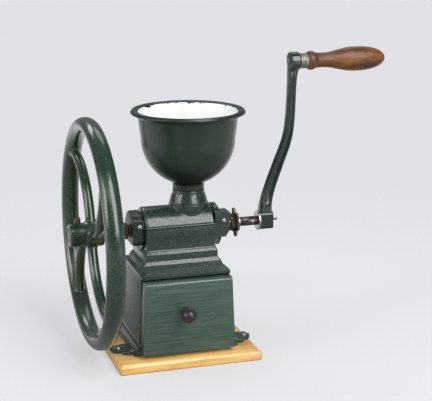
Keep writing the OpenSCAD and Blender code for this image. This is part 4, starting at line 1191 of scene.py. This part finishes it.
@dataclass
class Hopper:
    """The enamelled bowl."""

    x: float = 16.1
    collar: float = 205.0
    centre: float = 267.43
    outer: float = 57.0
    wall: float = 3.0
    rim_r: float = 69.2

    def build(self, shop: Workshop) -> None:
        """Makes the bowl, white inside and green outside."""
        side = self.centre + 24.0
        lip = self.outer + 3.0
        rim = side + 7.0
        neck = 19.3
        low = math.degrees(math.acos(neck / self.outer))
        inner = self.outer - self.wall
        throat = 13.5
        deep = math.degrees(math.acos(throat / inner))
        outside = [(self.collar - 14.0, 16.3), (self.collar, 16.3), (self.collar, neck - 0.5),
                   (self.collar + 0.5, neck), (self.collar + 6.8, neck)]
        outside += smooth_line([(self.collar + 7.8, neck + 0.15)] + [(z, r) for r, z in arc(
            (0.0, self.centre), self.outer, -low + 2.5, 0.0, 24)], 1)
        outside += smooth_line([(side - 12.0, self.outer + 1.5), (side, lip), (side + 2.2, lip + 0.6),
                                (side + 4.6, lip + 2.5), (rim - 1.0, self.rim_r - 2.8)], 4)
        bead = ((-1.4, 3.4), (-1.3, 2.4), (-0.7, 0.8), (0.0, 0.1), (0.6, 0.0), (1.2, 0.15), (3.0, 1.35), (3.5, 1.9),
                (3.75, 2.7), (3.8, 3.4))
        outside += smooth_line([(rim + up, self.rim_r - back) for up, back in bead], 3)
        outside += smooth_line([(rim + 3.0, lip + 4.6), (rim + 2.9, lip + 2.2), (rim + 2.4, lip + 0.9)], 3)
        inside = smooth_line([(rim + 1.8, lip + 0.3), (rim - 1.0, lip - 1.0), (side, lip - 3.0),
                              (side - 12.0, inner + 1.5)], 5)
        inside += [(z, r) for r, z in arc((0.0, self.centre), inner, 0, -deep, 28)]
        inside += [(self.collar - 14.0, throat)]
        kinds = [0] * (len(outside)) + [1] * len(inside)
        form = Form().lathe(outside + inside, 160, Matrix.Translation((self.x, 0.0, 0.0)), kinds)
        item = linked("bowl", form.mesh("bowl"))
        shop.piece(item, [shop.finishes.glaze_out, shop.finishes.glaze_in], Body.MILL, ["hopper_bowl"])


@dataclass
class Wheel:
    """The flywheel with its hub and screw."""

    axis: float = 157.3
    x: float = -105.2
    radius: float = 140.0
    half_width: float = 11.1
    half_thickness: float = 9.2
    spoke_arc: float = 90.0
    hub_end: float = -91.0

    def build(self, shop: Workshop) -> None:
        """Makes the wheel and its hub screw."""
        finishes = shop.finishes
        item = wheel_recipe().make("flywheel_casting", bpy.data.meshes.new("wheel"), {
            "Rim radius": (self.radius - self.half_thickness) * MM, "Rim half width": self.half_width * MM,
            "Rim half thickness": self.half_thickness * MM, "Arc radius": self.spoke_arc * MM,
            "Sweep": 2 * math.asin((self.radius - self.half_thickness) / (2 * self.spoke_arc)) - 0.02,
            "Spoke half width": 6.0 * MM, "Spoke half thickness": 6.25 * MM, "Spokes": 4,
            "Turn": math.radians(6.0), "Finish": finishes.wheel})
        turn = Matrix.Rotation(math.radians(-90), 4, "Z") @ Matrix.Rotation(math.radians(90), 4, "X")
        item.data.transform(Matrix.Translation((self.x * MM, 0.0, self.axis * MM)) @ turn)
        end = self.hub_end
        hub = [(end - 41.7, 0.0), (end - 41.7, 12.6), (end - 41.0, 13.6), (end - 40.0, 14.0), (end - 23.5, 14.0),
               (end - 21.5, 14.5), (end - 20.0, 15.5), (end - 1.5, 15.5), (end - 0.4, 14.9), (end, 13.6), (end, 0.0)]
        shape = Form().lathe(hub, 96, x_axis(self.axis)).mesh("hub")
        work = bmesh.new()
        work.from_mesh(item.data)
        work.from_mesh(shape)
        work.to_mesh(item.data)
        work.free()
        cast(item, 1.0, 5)
        shop.piece(item, finishes.wheel, Body.ROTOR, ["flywheel"])
        face = end - 42.0
        ring = Form().lathe([(face + 0.02, 5.0), (face + 0.02, 9.6), (face + 0.5, 10.2), (face + 0.5, 5.0)], 64,
                            x_axis(self.axis))
        shop.piece(linked("hub_end_face", ring.mesh("hub_end")), finishes.browned, Body.ROTOR)
        x = face + 11.0
        bolt = Form().lathe([(self.axis + 8.0, 0.0), (self.axis + 8.0, 3.0), (self.axis + 14.5, 3.0),
                             (self.axis + 14.5, 0.0)], 24, Matrix.Translation((x, 0.0, 0.0)))
        bolt.block((x - 3.6, -3.6, self.axis + 13.6), (x + 3.6, 3.6, self.axis + 21.0))
        shop.piece(rounded(linked("hub_bolt", bolt.mesh("bolt")), 0.6), finishes.rust, Body.ROTOR,
                   ["hub_screw"])


@dataclass
class Drive:
    """Shaft, collar, star nut, washers and crank."""

    axis: float = 157.3
    foot: float = 106.4
    reach: float = 197.0
    arm_x: float = 148.8
    arm_t: float = 11.0
    eye_r: float = 11.4
    star_r: float = 18.0

    def shaft(self, shop: Workshop) -> None:
        """The shaft and the parts that sit on it."""
        finishes = shop.finishes
        along = x_axis(self.axis)
        form = Form().lathe([(-131.5, 0.0), (-131.5, 4.2), (-131.0, 4.75), (80.6, 4.75), (80.6, 5.4), (80.9, 5.7),
                             (124.6, 5.7), (124.9, 5.3), (124.9, 1.3), (131.0, 1.3), (131.4, 0.9), (131.4, 0.0)], 64,
                            along)
        shop.piece(linked("shaft", form.mesh("shaft")), finishes.browned, Body.ROTOR, ["main_shaft"])
        x1 = -61.4
        form = Form().lathe([(x1 - 5.0, 4.8), (x1 - 5.0, 9.0), (x1 - 4.2, 10.0), (x1 - 0.8, 10.0), (x1, 9.2),
                             (x1, 4.8)], 64, along)
        shop.piece(linked("collar", form.mesh("collar")), finishes.rust, Body.ROTOR, ["shaft_collar"])
        form = Form().lathe([(79.0, 4.81), (79.0, 7.5), (80.6, 7.5), (80.6, 4.81)], 48, along)
        shop.piece(linked("thrust_disc", form.mesh("thrust")), finishes.bright, Body.THRUST,
                   ["thrust_washer"])
        form = Form().lathe([(-6.6, 0.0), (-6.5, 0.8), (-6.1, 1.4), (6.1, 1.4), (6.5, 0.8), (6.6, 0.0)], 24,
                            front_axis(self.foot - 9.0, 0.0, self.axis))
        shop.piece(linked("cross_pin", form.mesh("pin")), finishes.bright, Body.ROTOR, ["crank_pin"])
        form = Form().lathe([(self.foot - 2.2, 5.7), (self.foot - 2.2, 11.4), (self.foot - 1.7, 12.0),
                             (self.foot - 0.1, 12.0), (self.foot - 0.1, 5.7)], 64, along)
        shop.piece(linked("foot_washer", form.mesh("washer")), finishes.bright, Body.ROTOR,
                   ["crank_washer"])

    def star(self, shop: Workshop) -> None:
        """The six-pointed nut that sets the grind."""
        outline = []
        for k in range(180):
            a = 2 * math.pi * k / 180
            off = (math.degrees(a) - 15.0 + 30.0) % 60.0 - 30.0
            across = self.star_r * 0.77 * math.sin(math.radians(off))
            knob = self.star_r * 0.23
            lit_behind = self.star_r * 0.77 * math.cos(math.radians(off)) + math.sqrt(max(0.0, knob ** 2 - across ** 2))
            outline.append((a, lit_behind if abs(across) < knob and lit_behind > self.star_r * 0.74 else self.star_r * 0.74))
        rings = []
        for x, inset in ((74.0, 1.0), (74.3, 0.4), (74.9, 0.0), (76.1, 0.0), (76.7, 0.4), (77.0, 1.0)):
            rings.append([(x, (r - inset) * math.cos(a), self.axis + (r - inset) * math.sin(a)) for a, r in outline])
        form = Form().loft(rings)
        item = linked("star_nut_casting", form.mesh("star"))
        along = x_axis(self.axis)
        combined(item, [Form().lathe([(68.0, 0.0), (68.0, 9.2), (68.6, 10.0), (78.4, 10.0), (79.0, 9.2), (79.0, 0.0)],
                                     64, along)], "UNION")
        carved(item, [Form().lathe([(67.0, 0.0), (67.0, 7.1), (77.0, 7.1), (77.0, 5.2), (80.0, 5.2), (80.0, 0.0)], 64,
                                   along)])
        shop.piece(item, shop.finishes.rust, Body.ADJUSTER, ["star_nut"])

    def arm_line(self) -> list[tuple[float, ...]]:
        """Middle line of the crank's arm from the shaft to the grip."""
        foot, top, h = self.foot + 9.0, self.arm_x, self.reach
        step = top - foot
        shares = ((0.0, foot), (0.09, foot), (0.2, foot + 0.15 * step), (0.35, foot + 0.47 * step),
                  (0.5, foot + 0.8 * step), (0.62, top - 2.6), (0.8, top - 0.8), (1.0, top))
        return smooth_line([(x, self.axis + share * h) for share, x in shares], 8)

    def arm_section(self, share: float) -> list[tuple[float, float]]:
        """The arm's fluted section at a share of its height."""
        low = max(0.0, 1.0 - max(0.0, share) / 0.18)
        half = 4.5 + 2.4 * low * low * (3.0 - 2.0 * low)
        thick = 0.5 * (self.arm_t + 4.0 * max(0.0, 1 - max(0.0, share) * 1.25) ** 1.3) + 1.0 * low
        deep = 2.4 * min(1.0, max(0.0, (share - 0.10) / 0.08)) * min(1.0, max(0.0, (0.92 - share) / 0.06))
        corner = 2.3
        side = []
        for k in range(-9, 10):
            u = thick * math.sin(math.pi * k / 18)
            edge = corner - min(corner, thick - abs(u))
            flute = deep * math.cos(0.5 * math.pi * min(1.0, abs(u) / (thick - 1.5))) ** 1.3
            side.append((u, -(half - corner + math.sqrt(max(0.0, corner ** 2 - edge ** 2)) - flute)))
        return side + [(u, -v) for u, v in reversed(side)]

    def crank(self, shop: Workshop) -> None:
        """The arm with its fluted sides, its rounded head and the bosses at its ends."""
        line = self.arm_line()
        rings = []
        for number, (x, z) in enumerate(line):
            a, b = line[max(number - 1, 0)], line[min(number + 1, len(line) - 1)]
            tangent = Vector((b[0] - a[0], b[1] - a[1])).normalized()
            rings.append([(x + tangent.y * u, v, z - tangent.x * u)
                          for u, v in self.arm_section((z - self.axis) / self.reach)])
        form = Form().loft(rings)
        form.prism(rounded_box(-7.2, 7.2, -11.0, 11.0, 4.0), self.foot, self.foot + 18.0,
                   lambda u, v, w: (w, u, self.axis + v))
        top = self.axis + self.reach
        x0, x1, r = self.arm_x - self.arm_t / 2, self.arm_x + self.arm_t / 2, self.eye_r
        form.lathe([(x0 + 1.9, 0.0), (x0 + 1.9, r - 0.8), (x0 + 2.7, r), (156.0, r), (156.7, r - 0.7), (157.0, r - 1.7),
                    (157.0, 0.0)], 64, x_axis(top))
        head = [(self.arm_x, top - 2.0), (x0, top - 2.0)] + arc((x0 + 5.0, top + 4.4), 5.0, 180, 90, 6)
        head += [(self.arm_x, top + 9.4)]
        web = [(self.arm_x, top - 2.6 * r)] + smooth_line([(x1 - 0.3, top - 2.6 * r), (x1, top - 1.9 * r),
                                                           (x1 + 1.0, top - 1.3 * r), (157.0, top - 0.85 * r)], 4)
        web += [(157.0, top - 0.6 * r), (self.arm_x, top - 0.6 * r)]
        for outline, half in ((head, 4.5), (web, 3.2)):
            form.prism(outline, -half, half, lambda u, v, w: (u, w, v))
        item = cast(linked("crank_casting", form.mesh("crank")), 0.6, 2)
        shop.piece(item, shop.finishes.crank, Body.ROTOR, ["crank_arm"])

    def build(self, shop: Workshop) -> None:
        """Makes every piece of the drive."""
        self.shaft(shop)
        self.star(shop)
        self.crank(shop)
        for node in ("rotating_burr", "feed_worm"):
            shop.paint_node(node, shop.finishes.burr)
        for node in ("burr_pin", "grip_spindle"):
            shop.paint_node(node, shop.finishes.steel)


@dataclass
class Handle:
    """The turned grip and its ferrule."""

    height: float = 354.3
    mouth: float = 168.6
    length: float = 102.6
    radius: float = 15.0

    def build(self, shop: Workshop) -> None:
        """Makes the ferrule and the grip."""
        along = x_axis(self.height)
        x = self.mouth - 11.1
        form = Form().lathe([(x, 4.1), (x, 8.8), (x + 0.5, 9.3), (x + 2.2, 9.4), (x + 2.7, 8.8), (x + 3.2, 9.3),
                             (x + 4.6, 9.4), (x + 5.1, 8.8), (x + 5.6, 9.3), (x + 9.6, 9.4), (x + 10.3, 9.0),
                             (x + 11.1, 9.0), (x + 11.1, 4.1)], 64, along)
        shop.piece(linked("ferrule", form.mesh("ferrule")), shop.finishes.dull, Body.GRIP,
                   ["grip_ferrule"])
        shares = ((0.0, 0.68), (0.004, 0.72), (0.02, 0.755), (0.045, 0.768), (0.068, 0.75), (0.078, 0.70),
                  (0.095, 0.645), (0.12, 0.618), (0.2, 0.603), (0.29, 0.653), (0.4, 0.82), (0.52, 0.968), (0.63, 0.998),
                  (0.73, 0.973), (0.84, 0.858), (0.93, 0.628), (0.985, 0.318))
        profile = [(self.mouth, 4.2)] + [
            (self.mouth + self.length * a, self.radius * r) for a, r in smooth_line(shares, 4)]
        profile += [(self.mouth + self.length * 0.997, 2.2), (self.mouth + self.length, 0.0)]
        form = Form().lathe([(self.mouth + 20.0, 0.0), (self.mouth + 20.0, 4.2)] + profile, 80, along)
        shop.piece(linked("grip", form.mesh("grip")), shop.finishes.grip, Body.GRIP, ["wooden_grip"])


@dataclass
class Drawer:
    """The drawer with its knob."""

    front: float = -59.0
    knob_x: float = -5.7
    knob_z: float = 68.5
    knob_r: float = 9.0
    knob_neck: float = 10.8

    def build(self, shop: Workshop) -> None:
        """Makes every piece of the drawer."""
        finishes = shop.finishes
        item = shop.dressed_node("drawer_front", "drawer_face", 1.8, 4)
        shop.piece(item, finishes.front, Body.DRAWER, ["drawer_front"])
        for node in ("drawer_left_side", "drawer_right_side", "drawer_back", "drawer_bottom"):
            item = shop.dressed_node(node, f"{node}_board", 0.5, 2)
            shop.piece(item, finishes.bare, Body.DRAWER, [node])
        neck = self.knob_r * 0.5
        base = self.knob_neck
        profile = [(0.0, 0.0), (0.0, neck + 1.3), (0.6, neck + 1.4), (1.2, neck + 0.9), (2.5, neck),
                   (base * 0.5, neck - 0.5), (base - 1.0, neck)]
        profile += [(z, r) for r, z in arc((0.0, base + self.knob_r * 0.8), self.knob_r, -56, 58, 20)]
        profile += [(base + self.knob_r * 1.72, self.knob_r * 0.36), (base + self.knob_r * 1.76, 0.0)]
        form = Form().lathe(profile, 64, front_axis(self.knob_x, self.front, self.knob_z))
        shop.piece(linked("knob", form.mesh("knob")), finishes.black, Body.DRAWER, ["drawer_knob"], 60.0)
        shop.paint_node("knob_screw", finishes.steel)


# Floor, light and camera


@dataclass(frozen=True)
class Softbox:
    """One large soft lamp."""

    name: str
    place: Point
    target: Point
    width: float
    height: float
    power: float

    def build(self) -> None:
        """Puts the lamp into the scene."""
        lamp = bpy.data.lights.new(self.name, "AREA")
        lamp.shape = "RECTANGLE"
        lamp.size = self.width
        lamp.size_y = self.height
        lamp.energy = self.power
        item = bpy.data.objects.new(self.name, lamp)
        bpy.context.scene.collection.objects.link(item)
        item.location = self.place
        item.rotation_euler = (Vector(self.target) - Vector(self.place)).to_track_quat("-Z", "Y").to_euler()


@dataclass
class Studio:
    """Pale floor, soft light and the photograph's camera."""

    eye: Point = (-0.3937, -1.4117, 0.5562)
    aim: Point = (0.05138, 0.0, 0.18656)
    lens: float = 103.475
    grey: float = 0.76
    dim_and_lit_bounce: tuple[float, float] = (0.30, 0.48)
    lit_behind: float = 0.72
    back: Colour = (0.760, 0.760, 0.790)
    tent: float = 0.52
    mirror: float = 0.20
    cover: float = 0.5

    def floor(self) -> None:
        """A wide pale floor, which for rays other than the camera's is painted darker near the mill and lighter to the
        sides and behind, for where the lamps light it.
        """
        graph = Graph("pale floor")
        mesh = bpy.data.meshes.new("floor")
        size = 14.0
        mesh.from_pydata([(-size, -size, 0.0), (size, -size, 0.0), (size, size, 0.0), (-size, size, 0.0)], [],
                         [(0, 1, 2, 3)])
        item = linked("floor", mesh)
        seen = Wire(graph, graph.node("ShaderNodeLightPath").outputs["Is Camera Ray"])
        x, y = graph.axis(0), graph.axis(1)
        dim, lit = self.dim_and_lit_bounce
        # Painted light: for rays other than the camera's the floor is dim near the mill and lit to the sides and
        # behind.
        lit_bounce = graph.mix(((x * x) ** 0.5).step(0.28, 0.80), (dim, dim, dim), (lit, lit, lit))
        lit_bounce = graph.mix(y.step(0.0, 0.5), lit_bounce, (self.lit_behind, self.lit_behind, self.lit_behind))
        tone = graph.mix(seen, lit_bounce, (self.grey, self.grey, self.grey * 1.02))
        cloth = graph.node("ShaderNodeBsdfPrincipled", None, {
            "Base Color": tone, "Roughness": 0.9, "Specular IOR Level": 0.1})
        glow = graph.node("ShaderNodeEmission", None, {"Color": self.back, "Strength": 1.0})
        away = (((x * x + y * y) ** 0.5).step(0.30, 1.0) * (1.0 - self.cover) + self.cover) * seen
        mixed = graph.node("ShaderNodeMixShader", None, {0: away, 1: cloth.outputs[0], 2: glow.outputs[0]})
        graph.node("ShaderNodeOutputMaterial", None, {"Surface": mixed.outputs[0]})
        item.data.materials.append(graph.material)

    def light(self) -> None:
        """Softboxes above and beside the mill and a pale surrounding."""
        for box in (Softbox("key", (0.89, -2.20, 2.02), (0.0, 0.0, 0.2), 1.6, 3.1, 74.0),
                    Softbox("front top", (-1.0, -1.95, 2.6), (0.0, 0.0, 0.2), 2.0, 0.9, 6.0),
                    Softbox("behind", (0.78, 1.67, 2.56), (0.0, 0.0, 0.2), 1.4, 1.0, 6.0),
                    Softbox("left front", (-2.70, -0.78, 1.50), (0.0, 0.0, 0.2), 1.0, 1.6, 27.0),
                    Softbox("left", (-3.2, 0.5, 0.9), (0.0, 0.0, 0.2), 1.0, 1.6, 12.0),
                    Softbox("behind left", (-0.67, 2.05, 2.1), (0.0, 0.0, 0.2), 1.0, 0.8, 8.0),
                    Softbox("low right", (0.58, -0.84, 0.20), (0.0, 0.0, 0.2), 0.20, 0.50, 0.34),
                    Softbox("low left", (-0.95, 0.08, 0.20), (0.0, 0.0, 0.2), 0.26, 0.40, 0.22)):
            box.build()
        world = bpy.data.worlds.new("surrounding")
        bpy.context.scene.world = world
        world.use_nodes = True
        tree = world.node_tree
        path = tree.nodes.new("ShaderNodeLightPath")
        shades = []
        for tone, strength in ((self.back, 1.0), ((0.97, 0.98, 1.0), self.tent), ((0.9, 0.95, 1.0), self.mirror)):
            shade = tree.nodes.new("ShaderNodeBackground")
            shade.inputs[0].default_value = (*tone, 1.0)
            shade.inputs[1].default_value = strength
            shades.append(shade)
        glossy = tree.nodes.new("ShaderNodeMixShader")
        tree.links.new(path.outputs["Is Glossy Ray"], glossy.inputs[0])
        tree.links.new(shades[1].outputs[0], glossy.inputs[1])
        tree.links.new(shades[2].outputs[0], glossy.inputs[2])
        camera = tree.nodes.new("ShaderNodeMixShader")
        tree.links.new(path.outputs["Is Camera Ray"], camera.inputs[0])
        tree.links.new(glossy.outputs[0], camera.inputs[1])
        tree.links.new(shades[0].outputs[0], camera.inputs[2])
        tree.links.new(camera.outputs[0], tree.nodes["World Output"].inputs[0])

    def camera(self) -> None:
        """The camera at the photograph's viewing angle."""
        data = bpy.data.cameras.new("camera")
        data.sensor_width = 36.0
        data.lens = self.lens
        item = bpy.data.objects.new("camera", data)
        bpy.context.scene.collection.objects.link(item)
        item.location = self.eye
        item.rotation_euler = (Vector(self.aim) - Vector(self.eye)).to_track_quat("-Z", "Y").to_euler()
        bpy.context.scene.camera = item

    def build(self) -> None:
        """Makes floor, light and camera, and sets the plain view."""
        self.floor()
        self.light()
        self.camera()
        bpy.context.scene.view_settings.view_transform = "Standard"


def main() -> None:
    """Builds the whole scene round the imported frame."""
    logging.basicConfig(level=logging.INFO, format="%(message)s")
    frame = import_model()
    Studio().build()
    shop = Workshop(frame, Finishes())
    for assembly in (Casing(), Hopper(), Wheel(), Drive(), Handle(), Drawer()):
        assembly.build(shop)


if __name__ == "__main__":
    main()
